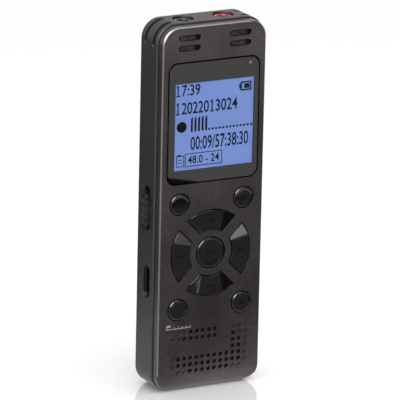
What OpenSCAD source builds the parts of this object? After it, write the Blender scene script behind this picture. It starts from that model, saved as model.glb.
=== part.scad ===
// Handheld voice recorder.
// It stands on its bottom face: +Z runs up its length, the front faces -Y and +X is to the right as
// seen from the front. The origin is the centre of the bottom face. Depths are measured from the front.

/* [Case] */
// Width of the case
body_w = 32; // [28:0.5:44]
// Height of the case
body_h = 101; // [98:0.5:130]
// Depth of the case, front panel to back cover
body_d = 12.1; // [11.6:0.1:16]
// Radius of the case's corners, seen from the front
corner_r = 5.3; // [4.6:0.1:6]
// Wall of the plastic frame
wall = 1.4; // [1.1:0.1:1.6]
// Bevel on the frame's front edge
frame_bevel = 0.3; // [0.1:0.05:0.5]
// Bevel on the frame's back edge
back_bevel = 0.6; // [0.2:0.05:0.8]
// Thickness of the lip that the front panel is glued round, and of the ledge under the back cover
lip_t = 0.8; // [0.6:0.1:1]
// How far the lip and the ledge run along the frame's wall
lip_run = 1; // [0.8:0.1:1.2]

/* [Front panel] */
// Thickness of the metal front panel
panel_t = 0.8; // [0.6:0.05:0.9]
// Depth of the panel's rim
panel_d = 2.4; // [2:0.1:2.8]
// Step from the frame in to the panel's edge
panel_step = 0.5; // [0.3:0.05:0.6]
// Bevel round the panel's face
panel_bevel = 0.45; // [0.2:0.05:0.6]
// Seam between the panel's rim and the frame
seam = 0.1; // [0.05:0.05:0.2]
// Height at which the face starts to curl back towards the bottom
curl_h = 4.7; // [4:0.1:5]
// How far back the face has curled at the bottom
curl_d = 2.3; // [1.8:0.1:2.4]

/* [Back cover] */
// Thickness of the back cover
cover_t = 1; // [0.8:0.1:1.2]
// Rim of the frame that shows round the back cover
cover_rim = 1; // [0.8:0.1:1.2]
// Gap round the back cover
cover_gap = 0.1; // [0.05:0.05:0.2]

/* [Window and display] */
// Gap between the window and the inside of the frame's lip, at each side
window_clear = 0.2; // [0.15:0.05:1]
// Height of the window
window_h = 33.2; // [28:0.2:36]
// Distance from the top of the case to the window
window_drop = 10.2; // [9.8:0.1:12]
// Radius of the window's corners
window_r = 2.5; // [1.5:0.1:3.5]
// Thickness of the window
window_t = 1; // [0.8:0.1:1]
// How far the window sits below the panel's face
window_sink = 0.05; // [0.05:0.05:0.1]
// Gap round the window
window_gap = 0.15; // [0.1:0.05:0.2]
// Thickness of the adhesive under the window
adhesive_t = 0.1; // [0.1:0.05:0.15]
// Width of the adhesive strip round the window
adhesive_w = 0.55; // [0.5:0.05:0.6]
// Gap between the adhesive and the display
lcd_gap_front = 0.1; // [0.05:0.05:0.15]
// Thickness of the display's glass
lcd_t = 1.1; // [0.9:0.1:1.2]
// Margin from the window's edge to the side of the display's glass
lcd_side = 1; // [0.95:0.05:1.4]
// Margin from the window's bottom edge to the display's glass
lcd_foot = 2.2; // [1.9:0.1:3]
// Margin from the window's top edge to the display's glass
lcd_head = 3; // [2.9:0.1:4]
// Width of the display's flexible circuit
flex_w = 14; // [10:1:18]
// Thickness of the flexible circuit
flex_t = 0.15; // [0.1:0.05:0.2]

/* [Status light] */
// Sideways place of the light
led_x = 10.8; // [9:0.1:11]
// Distance from the window's top edge to the light
led_drop = 1.75; // [1.5:0.05:1.9]
// Radius of the light pipe
pipe_r = 0.5; // [0.4:0.05:0.55]
// Height of the light-emitting diode on the board
led_t = 0.7; // [0.5:0.05:0.8]

/* [Keys] */
// How far a key travels when it is pressed
key_travel = 0.3; // [0.2:0.05:0.35]
// Gap round each key in the panel
key_gap = 0.22; // [0.12:0.01:0.3]
// Width of the flange that holds a key behind the panel
flange_w = 0.5; // [0.4:0.05:0.6]
// Thickness of that flange
flange_t = 0.45; // [0.4:0.05:0.5]
// Gap between the flange and the panel's back
flange_gap = 0.1; // [0.05:0.05:0.15]
// Radius of the post under each key
post_r = 1; // [0.8:0.1:1.2]
// Running gap round each post in the support frame
post_gap = 0.3; // [0.2:0.05:0.4]
// Gap left under a post when its key is pressed
post_end_gap = 0.03; // [0.02:0.01:0.05]
// Height of the control ring's centre above the bottom
ring_z = 37.8; // [36:0.1:40]
// Outer radius of the control ring's openings
ring_r = 12; // [10.5:0.1:12.4]
// Inner radius of the control ring's openings
ring_inner_r = 6.35; // [6.1:0.05:7]
// Width of the panel's webs between the ring's keys
ring_web = 3; // [2.4:0.1:3.6]
// How far a ring key stands proud of the panel
ring_proud = 0.25; // [0.1:0.05:0.4]
// Distance from the ring's centre to the line of a ring key's fold
facet_at = 1.6; // [1.4:0.1:3]
// Lean of a ring key's folds away from each other, in degrees
facet_lean = 10.7; // [0:0.1:15]
// Slope of a ring key's two ends, in degrees
facet_angle = 8; // [4:1:10]
// Radius of the centre key's opening
centre_r = 4.45; // [4:0.05:4.6]
// How far the centre key stands proud
centre_proud = 0.2; // [0.1:0.05:0.4]
// Depth of the finger dish in the centre key
dish_d = 0.15; // [0.05:0.05:0.2]
// Radius of the four round keys' openings
round_r = 3.1; // [2.8:0.05:3.2]
// How far a round key stands proud
round_proud = 0.4; // [0.2:0.05:0.5]
// Radius of the keys' rounded edge
key_edge = 0.4; // [0.1:0.05:0.45]
// Sideways place of the round keys
round_x = 9.6; // [9:0.1:9.8]
// Height of the upper pair of round keys
round_high_z = 52.1; // [51.5:0.1:53]
// Height of the lower pair of round keys
round_low_z = 22.9; // [22.7:0.1:23.6]

/* [Speaker] */
// Spacing of the grille's holes
hole_pitch = 1.83; // [1.6:0.01:1.9]
// Radius of the grille's holes
hole_r = 0.58; // [0.4:0.02:0.7]
// Depth of the blind holes at the grille's ends
dimple_d = 0.45; // [0.2:0.05:0.5]
// Height of the grille's middle row
grille_z = 10.9; // [10.6:0.1:11.2]
// Width of the speaker
speaker_w = 22; // [20:0.5:22.5]
// Height of the speaker
speaker_h = 13.6; // [12.6:0.2:13.8]
// Thickness of the speaker
speaker_t = 3.6; // [2.8:0.1:4]
// Thickness of the cloth and mesh behind the panel's openings
mesh_t = 0.15; // [0.1:0.05:0.2]
// Thickness of the speaker's foam gasket
gasket_t = 0.65; // [0.4:0.05:0.8]
// Width of the gasket's border
gasket_w = 1; // [0.8:0.1:1.2]

/* [Microphones] */
// Sideways place of each pair of front slots
mic_x = 7.6; // [7:0.1:8]
// Gap between a microphone's boot and the frame's lip
mic_clear = 0.2; // [0.1:0.05:0.8]
// Spacing of the two slots
mic_slot_pitch = 2.75; // [2.4:0.05:3]
// Length of a front slot
mic_slot_l = 6.5; // [5:0.1:7]
// Width of a front slot
mic_slot_w = 1.6; // [1:0.1:1.8]
// Radius of a microphone capsule
mic_r = 2; // [1.8:0.1:2.1]
// Thickness of a microphone capsule
mic_t = 1.5; // [1:0.1:1.6]
// Wall of the rubber boot round a capsule
boot_t = 0.55; // [0.4:0.05:0.6]
// Width of a slot that wraps a top corner
corner_slot_w = 1.3; // [0.8:0.1:1.6]
// Depth of the first corner slot
corner_slot_d = 4.6; // [4.4:0.1:4.8]
// Spacing of the two corner slots
corner_slot_pitch = 4.5; // [3.6:0.1:4.5]

/* [Sockets] */
// Sideways place of the two audio sockets
jack_x = 6; // [5:0.1:6.2]
// Radius of an audio socket's bore
jack_bore_r = 1.8; // [1.75:0.01:1.85]
// Width of an audio socket's body
jack_w = 6.2; // [5.6:0.1:6.4]
// Thickness of an audio socket's body
jack_t = 5; // [4.6:0.1:5.2]
// Length of an audio socket's body
jack_l = 11.7; // [11:0.1:13]
// Gap between an audio socket's body and the board, which its legs bridge
jack_lift = 0.25; // [0.2:0.05:0.3]
// Radius of a socket's round collar
collar_r = 2.6; // [2.4:0.05:2.7]
// Gap round the collar in the frame
collar_gap = 0.3; // [0.2:0.05:0.35]
// How far the collar sits below the top face
collar_sink = 0.5; // [0.3:0.1:0.8]
// Height of the USB socket's centre
usb_z = 30; // [29:0.1:31]
// Length of the USB socket's shell, across the case's height
usb_l = 8.94; // [8.9:0.01:9]
// Thickness of the USB socket's shell
usb_t = 3.2; // [3.1:0.01:3.3]
// Sheet thickness of the USB socket's shell
usb_wall = 0.3; // [0.2:0.05:0.35]
// Reach of the USB socket's shell into the case
usb_reach = 7.35; // [6.8:0.05:7.6]
// How far the USB shell sits inside the frame's opening
usb_sink = 0.6; // [0.4:0.1:0.8]
// Gap round the USB shell in the frame
usb_gap = 0.1; // [0.05:0.05:0.15]

/* [Slide switch] */
// Height of the slot's lower end
slot_z = 44.2; // [43:0.1:46]
// Height of the slot's middle line above the board's back
switch_lift = 2.05; // [1.9:0.05:2.2]
// Travel of the slide switch
switch_travel = 1.6; // [1.2:0.1:2]
// Length of the knob
knob_l = 10.2; // [8:0.1:10.6]
// Width of the knob
knob_w = 3; // [2.4:0.1:3.2]
// How far the knob stands out of the frame
knob_proud = 1; // [0.6:0.1:1.4]
// Gap round the knob in its slot
knob_gap = 0.2; // [0.15:0.05:0.25]
// Number of ribs on the knob
knob_ribs = 5; // [3:1:7]
// Length of the switch's body
switch_l = 9; // [8:0.1:10]
// Width and thickness of the switch's body
switch_w = 3.5; // [3.2:0.1:3.6]

/* [Board] */
// Depth of the board's front face
board_depth = 3.65; // [3.6:0.05:3.8]
// Thickness of the board
board_t = 0.8; // [0.6:0.1:0.9]
// Gap between the board and the lip
board_gap = 0.2; // [0.15:0.05:0.3]
// Height of the board's lower edge
board_z = 19.6; // [19.4:0.1:19.8]
// Radius of a key's snap dome
dome_r = 2; // [1.6:0.1:2.1]
// Height of a snap dome when it is pressed flat
dome_t = 0.2; // [0.15:0.01:0.22]
// Thickness of the film over the domes
film_t = 0.1; // [0.05:0.01:0.1]

/* [Battery] */
// Width of the battery
battery_w = 21.6; // [16:0.2:22]
// Height of the battery
battery_h = 49; // [40:1:49]
// Thickness of the battery
battery_t = 4.6; // [3.5:0.1:4.6]
// Thickness of the battery's foam pad
pad_t = 0.5; // [0.3:0.05:0.6]
// Height of the battery's lower edge
battery_z = 37.2; // [36.5:0.1:38]
// Gap between the battery and the frame's right wall
battery_gap = 1.2; // [0.8:0.1:2]

/* [Screws] */
// Radius of a screw's shank
screw_r = 0.6; // [0.5:0.05:0.7]
// Radius of a board screw's head
head_r = 1; // [0.9:0.05:1.05]
// Radius of a cover screw's head
sunk_head_r = 1.25; // [1.1:0.05:1.4]
// Clearance round a screw's shank
screw_gap = 0.05; // [0.03:0.01:0.1]
// Radius of a screw boss
boss_r = 1.6; // [1.4:0.1:1.7]
// Distance from the frame's inner wall to a boss's centre
boss_inset = 2.3; // [2.2:0.05:2.5]

/* [Hidden] */
$fn = 64;
// a cut runs this far past the face that it opens
over = 1;
// two shapes of one solid overlap by this much
bite = 0.4;

front_y = -body_d / 2;
cavity_w = body_w - 2 * wall;
cavity_r = corner_r - wall;
frame_d = panel_d + seam;
cover_d = body_d - cover_t;
panel_w = body_w - 2 * panel_step;
panel_bottom = panel_step / 2;
panel_top = body_h - panel_step;
panel_r = corner_r - panel_step;
// the rim of the panel closes round the frame's lip
rim_t = wall - panel_step - seam;
curl_r = (curl_h * curl_h + curl_d * curl_d) / (2 * curl_d);
lip_inner_w = cavity_w - 2 * lip_t;
lip_inner_z = body_h - wall - lip_t;

window_w = lip_inner_w - 2 * window_clear;
window_top = body_h - window_drop;
window_z = window_top - window_h;
window_back = window_sink + window_t;
seat_d = window_back + adhesive_t;
lcd_front = seat_d + lcd_gap_front;
lcd_back = lcd_front + lcd_t;
lcd_w = window_w - 2 * lcd_side;
lcd_z = window_z + lcd_foot;
lcd_top = window_top - lcd_head;
led_z = window_top - led_drop;
// gap round the display in the support frame, and the length of the flexible circuit's foot below it
pocket_gap = 0.25;
flex_foot_l = 1.2;

board_back = board_depth + board_t;
board_w = lip_inner_w - 2 * board_gap;
board_top = lip_inner_z - board_gap;
board_r = corner_r - wall - lip_t - board_gap;
film_d = board_depth - dome_t - film_t;
key_back_d = film_d - key_travel - post_end_gap;
flange_d = panel_t + flange_gap;
// the plate under the keys clears a pressed key's flange by this much
plate_clear = 0.2;
plate_d = flange_d + flange_t + key_travel + plate_clear;
plate_t = 0.8;
support_gap = 0.1;
support_w = lip_inner_w - 2 * support_gap;
support_rib = 0.9;

usb_d = board_back + usb_t / 2;
switch_d = board_back + switch_lift;
slot_w = knob_w + 2 * knob_gap;
slot_l = knob_l + switch_travel + 2 * knob_gap;
knob_z = slot_z + knob_gap + knob_l / 2;
// the switch's body, the lever in it and the knob's plate inside the wall
switch_x = -cavity_w / 2 + 1.9;
lever_half = 0.6;
plate_gap = 0.2;
knob_plate_t = 0.6;
knob_plate_l = slot_l + switch_travel + 1.4;
jack_d = board_back + jack_lift + jack_t / 2;
jack_gap = 0.1;
jack_top = body_h - wall - jack_gap;
mic_z = lip_inner_z - mic_clear - boot_t - mic_r;
boot_lip_t = 0.5;
boss_x = cavity_w / 2 - boss_inset;
boss_low_z = 6.2;
boss_mid_z = board_z + 1.3;
boss_high_z = window_top + 1.7;
// reach of the cover's and the board's screws into their bosses, and the room past their ends
cover_screw_l = 2.6;
board_screw_l = 2.2;
thread_room = 0.2;
head_gap = 0.3;
speaker_front = panel_t + mesh_t + gasket_t;
speaker_back = speaker_front + speaker_t;
speaker_z = grille_z;
speaker_r = 2.5;
speaker_lead_x = 3;
basket_wall = 1;
basket_floor = 0.8;
bulkhead_t = 0.9;
bulkhead_gap = 0.3;
bulkhead_z = board_z - bulkhead_gap - bulkhead_t;
battery_x = cavity_w / 2 - battery_gap - battery_w / 2;
battery_back = cover_d - pad_t;
pad_inset = 2;
battery_front = battery_back - battery_t;
connector_x = battery_x + 5;
connector_t = battery_front + 0.95 - board_back;
// the battery's connector stands below it by the length of its leads
connector_h = 3;
lead_l = 4.6;
lead_r = 0.4;
ring_post_r = (ring_r + ring_inner_r) / 2;

// places of the nine key posts, as [x, z]
KEY_POSTS = concat(
    [for (x = [-round_x, round_x], z = [round_low_z, round_high_z]) [x, z]],
    [for (a = [0:90:270]) [ring_post_r * sin(a), ring_z + ring_post_r * cos(a)]],
    [[0, ring_z]]);

// rows of the grille from the bottom up: [first, last] column of each run of holes
GRILLE = [[[2, 12]], [[1, 13]], [[1, 13]], [[11, 13]], [[11, 13]], [[1, 8], [11, 13]], [[2, 8], [11, 12]]];
// the columns of each row that are drilled only part of the way
DIMPLES = [[2, 3, 11, 12], [1, 13], [1, 13], [13], [13], [1, 2, 12, 13], [2, 3, 11, 12]];
function is_dimple(row, col) = len(search(col, DIMPLES[row])) > 0;

// ---- shapes ----

// a flat shape drawn in X and Z, made solid from depth d0 to depth d1
module deep(d0, d1) {
    translate([0, front_y + d1, 0])
        rotate([90, 0, 0])
            linear_extrude(height = d1 - d0)
                children();
}

// a box from low corner to high corner, given as x, depth and height
module block(x0, x1, d0, d1, z0, z1) {
    translate([x0, front_y + d0, z0])
        cube([x1 - x0, d1 - d0, z1 - z0]);
}

// a round bar along the depth
module peg(x, z, r, d0, d1) {
    translate([x, front_y + d0, z])
        rotate([-90, 0, 0])
            cylinder(h = d1 - d0, r = r);
}

// a rectangle with round corners, centred on X
module rounded(w, z0, z1, r) {
    translate([-w / 2 + r, z0])
        square([w - 2 * r, z1 - z0]);
    translate([-w / 2, z0 + r])
        square([w, z1 - z0 - 2 * r]);
    for (x = [-w / 2 + r, w / 2 - r], z = [z0 + r, z1 - r])
        translate([x, z])
            circle(r = r);
}

// a rounded rectangle from depth d0 to d1
module slab(w, z0, z1, r, d0, d1) {
    deep(d0, d1)
        rounded(w, z0, z1, r);
}

// a slab whose outer edges are bevelled by front_c at the front and by back_c at the back
module bevel_slab(w, z0, z1, r, d0, d1, front_c, back_c) {
    t = d1 - d0;
    for (x = [-w / 2 + r, w / 2 - r], z = [z0 + r, z1 - r])
        translate([x, front_y + d0, z])
            rotate([-90, 0, 0])
                rotate_extrude()
                    polygon([[0, 0], [r - front_c, 0], [r, front_c], [r, t - back_c], [r - back_c, t],
                        [0, t]]);
    translate([-w / 2 + r, front_y + d0, 0])
        rotate([90, 0, 90])
            linear_extrude(height = w - 2 * r)
                polygon([[0, z0 + front_c], [front_c, z0], [t - back_c, z0], [t, z0 + back_c],
                    [t, z1 - back_c], [t - back_c, z1], [front_c, z1], [0, z1 - front_c]]);
    translate([0, front_y + d0, z0 + r])
        linear_extrude(height = z1 - z0 - 2 * r)
            polygon([[-w / 2 + front_c, 0], [w / 2 - front_c, 0], [w / 2, front_c], [w / 2, t - back_c],
                [w / 2 - back_c, t], [-w / 2 + back_c, t], [-w / 2, t - back_c], [-w / 2, front_c]]);
}

// everything behind the face, which curls back at the bottom; inset moves the face in
module behind_face(inset) {
    translate([-body_w / 2 - over, front_y, 0])
        rotate([90, 0, 90])
            linear_extrude(height = body_w + 2 * over) {
                translate([inset, curl_h])
                    square([body_d, body_h]);
                intersection() {
                    translate([0, -over])
                        square([body_d, curl_h + over]);
                    union() {
                        translate([curl_r, curl_h])
                            circle(r = curl_r - inset, $fn = 128);
                        translate([curl_r, -over])
                            square([body_d, curl_h + 2 * over]);
                    }
                }
            }
}

// a slot with round ends lying along X, centred on the origin
module slot_shape(l, w) {
    square([l - w, w], center = true);
    for (x = [-(l - w) / 2, (l - w) / 2])
        translate([x, 0])
            circle(r = w / 2);
}

// a slot with round ends that runs along Z, cut or made through the left wall from x0 to x1
module side_slot(l, w, d, z, x0, x1) {
    translate([x0, front_y + d, z])
        rotate([90, 0, 90])
            linear_extrude(height = x1 - x0)
                rotate(90)
                    slot_shape(l, w);
}

// the outline of the ring key that points up, moved out by grow
module ring_shape(grow) {
    k = (ring_web / 2 - grow) * sqrt(2);
    reach = 2 * ring_r;
    intersection() {
        difference() {
            circle(r = ring_r + grow, $fn = 128);
            circle(r = ring_inner_r - grow, $fn = 96);
        }
        polygon([[0, k], [reach, k + reach], [-reach, k + reach]]);
    }
}

// the places of the four microphone slots in the face
module mic_slots(x) {
    for (z = [-mic_slot_pitch / 2, mic_slot_pitch / 2])
        translate([x, mic_z + z])
            slot_shape(mic_slot_l, mic_slot_w);
}

// a cross recess in a screw's head, cut from its face at depth d to depth d + h
module cross_recess(x, z, r, d0, d1) {
    block(x - r, x + r, d0, d1, z - r / 4, z + r / 4);
    block(x - r / 4, x + r / 4, d0, d1, z - r, z + r);
}

// ---- case ----

module front_panel() {
    color("#57504f")
        difference() {
            intersection() {
                bevel_slab(panel_w, panel_bottom, panel_top, panel_r, 0, panel_d, panel_bevel, 0);
                behind_face(0);
            }
            intersection() {
                slab(panel_w - 2 * rim_t, panel_bottom + rim_t, panel_top - rim_t, panel_r - rim_t,
                    panel_t, panel_d + over);
                behind_face(panel_t);
            }
            slab(window_w + 2 * window_gap, window_z - window_gap, window_top + window_gap,
                window_r + window_gap, -over, panel_t + over);
            for (x = [-round_x, round_x], z = [round_low_z, round_high_z])
                peg(x, z, round_r, -over, panel_t + over);
            peg(0, ring_z, centre_r, -over, panel_t + over);
            for (turn = [0:90:270])
                translate([0, 0, ring_z])
                    rotate([0, turn, 0])
                        deep(-over, panel_t + over)
                            ring_shape(0);
            deep(-over, panel_t + over) {
                mic_slots(-mic_x);
                mic_slots(mic_x);
            }
            for (row = [0:len(GRILLE) - 1], run = GRILLE[row], col = [run[0]:run[1]])
                peg((col - 7) * hole_pitch, grille_z + (row - 3) * hole_pitch, hole_r, -over,
                    is_dimple(row, col) ? dimple_d : panel_t + over);
        }
}

// a boss for a screw, tied to the frame's side wall by a web
module boss(side, z, d0, d1) {
    peg(side * boss_x, z, boss_r, d0, d1);
    web = cavity_w / 2 + bite - boss_x;
    block(side > 0 ? boss_x : -boss_x - web, side > 0 ? boss_x + web : -boss_x, d0, d1, z - 1, z + 1);
}

// a slot that wraps one top corner of the frame
module corner_slot(side, d) {
    r0 = cavity_r - bite;
    r1 = corner_r + over;
    start = side > 0 ? -3 : 93;
    translate([side * (body_w / 2 - corner_r), front_y + d, body_h - corner_r])
        rotate([90, 0, 0]) {
            rotate([0, 0, start])
                rotate_extrude(angle = 90)
                    translate([r0, -corner_slot_w / 2])
                        square([r1 - r0, corner_slot_w]);
            for (a = [start, start + 90])
                rotate([0, 0, a])
                    translate([r0, 0, 0])
                        rotate([0, 90, 0])
                            cylinder(h = r1 - r0, r = corner_slot_w / 2);
        }
}

module mid_frame() {
    color("#3a393c")
        difference() {
            union() {
                difference() {
                    bevel_slab(body_w, 0, body_h, corner_r, frame_d, body_d, frame_bevel, back_bevel);
                    slab(cavity_w, wall, body_h - wall, cavity_r, frame_d - over, body_d + over);
                }
                // lip that the front panel closes round
                intersection() {
                    difference() {
                        union() {
                            slab(cavity_w, wall, body_h - wall, cavity_r, panel_t, frame_d + lip_run);
                            slab(cavity_w + 2 * bite, wall - bite, body_h - wall + bite, cavity_r + bite,
                                frame_d, frame_d + lip_run);
                        }
                        slab(lip_inner_w, wall + lip_t, lip_inner_z, cavity_r - lip_t, 0, body_d);
                    }
                    behind_face(panel_t + seam / 2);
                }
                // ledge that the back cover rests on
                difference() {
                    slab(cavity_w + 2 * bite, wall - bite, body_h - wall + bite, cavity_r + bite,
                        cover_d - lip_run, cover_d + bite);
                    slab(lip_inner_w, wall + lip_t, lip_inner_z, cavity_r - lip_t, 0, body_d + over);
                }
                // bulkhead between the speaker's chamber and the board
                block(-cavity_w / 2 + 0.1, cavity_w / 2 - 0.1, plate_d, frame_d + bite,
                    bulkhead_z, bulkhead_z + bulkhead_t);
                block(-cavity_w / 2 - bite, cavity_w / 2 + bite, frame_d, cover_d - bite,
                    bulkhead_z, bulkhead_z + bulkhead_t);
                for (side = [-1, 1]) {
                    boss(side, boss_low_z, speaker_back + 1, cover_d);
                    boss(side, boss_mid_z, board_back, cover_d - 2);
                    boss(side, boss_high_z, board_back, cover_d);
                    // seat behind the speaker's end
                    block(side > 0 ? speaker_w / 2 - 1.5 : -cavity_w / 2 - bite,
                        side > 0 ? cavity_w / 2 + bite : -speaker_w / 2 + 1.5,
                        speaker_back, speaker_back + 1, speaker_z - 2, speaker_z + 2);
                }
            }
            slab(body_w - 2 * cover_rim, cover_rim, body_h - cover_rim, corner_r - cover_rim,
                cover_d, body_d + over);
            for (side = [-1, 1]) {
                for (z = [boss_low_z, boss_high_z])
                    peg(side * boss_x, z, screw_r + screw_gap, cover_d - cover_screw_l - thread_room,
                        cover_d + over);
                for (z = [boss_mid_z, boss_high_z])
                    peg(side * boss_x, z, screw_r + screw_gap, board_back - over,
                        board_back + board_screw_l + thread_room);
                translate([side * jack_x, front_y + jack_d, body_h - wall - over])
                    cylinder(h = wall + 2 * over, r = collar_r + collar_gap);
                for (i = [0, 1])
                    corner_slot(side, corner_slot_d + i * corner_slot_pitch);
                // notches for the speaker's leads
                block(side * speaker_lead_x - 0.6, side * speaker_lead_x + 0.6, board_back - 0.8,
                    board_back + 1.2, bulkhead_z - over, bulkhead_z + bulkhead_t + over);
            }
            side_slot(usb_l + 2 * usb_gap, usb_t + 2 * usb_gap, usb_d, usb_z,
                -body_w / 2 - over, -cavity_w / 2 + over);
            side_slot(slot_l, slot_w, switch_d, slot_z + slot_l / 2,
                -body_w / 2 - over, -cavity_w / 2 + over);
        }
}

module back_cover() {
    color("#4d4847")
        difference() {
            bevel_slab(body_w - 2 * cover_rim - 2 * cover_gap, cover_rim + cover_gap,
                body_h - cover_rim - cover_gap, corner_r - cover_rim - cover_gap, cover_d, body_d, 0, 0.2);
            for (x = [-boss_x, boss_x], z = [boss_low_z, boss_high_z])
                translate([x, front_y + cover_d, z])
                    rotate([-90, 0, 0]) {
                        translate([0, 0, -over])
                            cylinder(h = cover_t + 2 * over, r = screw_r + 2 * screw_gap);
                        translate([0, 0, cover_t - sunk_head_r + screw_r])
                            cylinder(h = sunk_head_r - screw_r + 0.01, r1 = screw_r + screw_gap,
                                r2 = sunk_head_r + screw_gap + 0.01);
                    }
        }
}

module cover_screws() {
    head_h = sunk_head_r - screw_r;
    sink = 0.03;
    recess = 0.4;
    color("#2b2b2d")
        for (x = [-boss_x, boss_x], z = [boss_low_z, boss_high_z])
            difference() {
                translate([x, front_y + body_d, z])
                    rotate([90, 0, 0])
                        rotate_extrude()
                            polygon([[0, sink], [sunk_head_r, sink], [screw_r, head_h + sink],
                                [screw_r, cover_t + cover_screw_l], [0, cover_t + cover_screw_l]]);
                cross_recess(x, z, sunk_head_r * 0.55, body_d - recess, body_d + over);
            }
}

module support_frame() {
    color("#1c1c1e")
        difference() {
            union() {
                slab(support_w, board_z, board_top, board_r, plate_d, plate_d + plate_t);
                // seat for the window, round the display's pocket
                slab(support_w, window_z + 0.1, window_top - 0.1, window_r, seat_d, plate_d + bite);
                difference() {
                    slab(support_w, board_z, board_top, board_r, plate_d, board_depth);
                    slab(support_w - 2 * support_rib, board_z + support_rib, board_top - support_rib,
                        board_r - support_rib, plate_d - over, board_depth + over);
                }
            }
            slab(lcd_w + 2 * pocket_gap, lcd_z - flex_foot_l - flex_t, lcd_top + pocket_gap, pocket_gap,
                0, board_depth + over);
            for (p = KEY_POSTS)
                peg(p[0], p[1], post_r + post_gap, 0, board_depth);
            peg(led_x, led_z, pipe_r + 0.05, 0, board_depth);
            for (side = [-1, 1]) {
                peg(side * mic_x, mic_z, mic_r + boot_t + 0.1, 0, board_depth + over);
                for (z = [boss_mid_z, boss_high_z])
                    peg(side * boss_x, z, head_r + head_gap, 0, board_depth + over);
            }
        }
}

module display_window() {
    color("#3c3a3d")
        bevel_slab(window_w, window_z, window_top, window_r, window_sink, window_back, 0.1, 0);
}

// a frame of thin tape, set in from the window's edge by inset
module window_adhesive() {
    inset = 0.1;
    hole_inset = inset + adhesive_w;
    color("#101012")
        difference() {
            slab(window_w - 2 * inset, window_z + inset, window_top - inset, window_r - inset,
                window_back, seat_d);
            slab(window_w - 2 * hole_inset, window_z + hole_inset, window_top - hole_inset,
                window_r - hole_inset, window_back - over, seat_d + over);
            peg(led_x, led_z, pipe_r + 0.05, window_back - over, seat_d + over);
        }
}

// ---- display ----

module lcd_glass() {
    color("#5a7fd0")
        block(-lcd_w / 2, lcd_w / 2, lcd_front, lcd_back, lcd_z, lcd_top);
}

module lcd_backlight() {
    color("#e8ecf2")
        block(-lcd_w / 2, lcd_w / 2, lcd_back, board_depth, lcd_z, lcd_top);
}

module lcd_flex() {
    color("#c07a2c") {
        block(-flex_w / 2, flex_w / 2, lcd_front + 0.2, board_depth, lcd_z - flex_t, lcd_z);
        block(-flex_w / 2, flex_w / 2, board_depth - flex_t, board_depth, lcd_z - flex_foot_l,
            lcd_z - flex_t / 2);
    }
}

module light_pipe() {
    color("#e6e6e6")
        peg(led_x, led_z, pipe_r, window_back, board_depth - led_t);
}

module status_led() {
    color("#f0efe2")
        block(led_x - 0.8, led_x + 0.8, board_depth - led_t, board_depth, led_z - 0.4, led_z + 0.4);
}

// ---- board ----

module main_board() {
    color("#1f5a3a")
        difference() {
            slab(board_w, board_z, board_top, board_r, board_depth, board_back);
            for (x = [-boss_x, boss_x], z = [boss_mid_z, boss_high_z])
                peg(x, z, screw_r + 2 * screw_gap, board_depth - over, board_back + over);
        }
}

module board_screws() {
    head_t = 0.6;
    recess = 0.25;
    color("#b9b9bd")
        for (x = [-boss_x, boss_x], z = [boss_mid_z, boss_high_z])
            difference() {
                union() {
                    peg(x, z, head_r, board_depth - head_t, board_depth);
                    peg(x, z, screw_r, board_depth - head_t / 2, board_back + board_screw_l);
                }
                cross_recess(x, z, head_r * 0.6, board_depth - over, board_depth - head_t + recess);
            }
}

// a flat chip on the board's back with rows of short legs on its left and right
module chip(x, z, w, h, t, legs) {
    leg_t = 0.15;
    leg_half = 0.4;
    standoff = 0.05;
    pitch = h / legs;
    block(x - w / 2, x + w / 2, board_back + standoff, board_back + t, z - h / 2, z + h / 2);
    for (side = [-1, 1], i = [0:legs - 1]) {
        leg_x = x + side * (w / 2 + 0.3);
        block(leg_x - leg_half, leg_x + leg_half, board_back, board_back + leg_t,
            z - h / 2 + (i + 0.25) * pitch, z - h / 2 + (i + 0.75) * pitch);
    }
}

module processor() {
    color("#17181a")
        chip(0, usb_z, 9, 9, 1, 8);
}

module flash_memory() {
    color("#1b1c1f")
        chip(battery_x, battery_z + 14, 12, 9, 1, 8);
}

module audio_codec() {
    color("#191a1c")
        chip(battery_x, board_top - 16, 5, 5, 0.9, 5);
}

// a small metal can with round ends lying on the board's back
module clock_crystal() {
    color("#c9ccd0")
        deep(board_back, board_back + 0.9)
            translate([battery_x, battery_z + 26])
                slot_shape(5, 2);
}

module board_capacitors() {
    count = 6;
    pitch = 3;
    half_l = 0.8;
    half_w = 0.4;
    z = battery_z + 4;
    color("#a58a5c")
        for (i = [0:count - 1]) {
            x = battery_x + (i - (count - 1) / 2) * pitch;
            block(x - half_l, x + half_l, board_back, board_back + 2 * half_w, z - half_w, z + half_w);
        }
}

module key_domes() {
    color("#c7c9cc")
        for (p = KEY_POSTS)
            peg(p[0], p[1], dome_r, board_depth - dome_t, board_depth);
}

module dome_film() {
    color("#d9c98a")
        difference() {
            block(-round_x - 2.2, round_x + 2.2, film_d, film_d + film_t, board_z + support_rib + 0.1,
                round_high_z + 2.5);
            for (x = [-boss_x, boss_x])
                peg(x, boss_mid_z, head_r + head_gap, film_d - over, board_depth);
        }
}

// ---- microphones ----

// a round capsule with two pins that reach the board
module mic(side) {
    d = panel_t + mesh_t + boot_lip_t;
    color("#b8babd") {
        peg(side * mic_x, mic_z, mic_r, d, d + mic_t);
        for (x = [-0.7, 0.7])
            peg(side * mic_x + x, mic_z, 0.2, d + mic_t / 2, board_depth);
    }
}

// the rubber boot has a lip in front of the capsule
module mic_boot(side) {
    d = panel_t + mesh_t;
    color("#232325")
        difference() {
            peg(side * mic_x, mic_z, mic_r + boot_t, d, d + boot_lip_t + mic_t);
            peg(side * mic_x, mic_z, mic_r - 0.4, d - over, d + mic_t);
            peg(side * mic_x, mic_z, mic_r, d + boot_lip_t, d + mic_t + over);
        }
}

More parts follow.
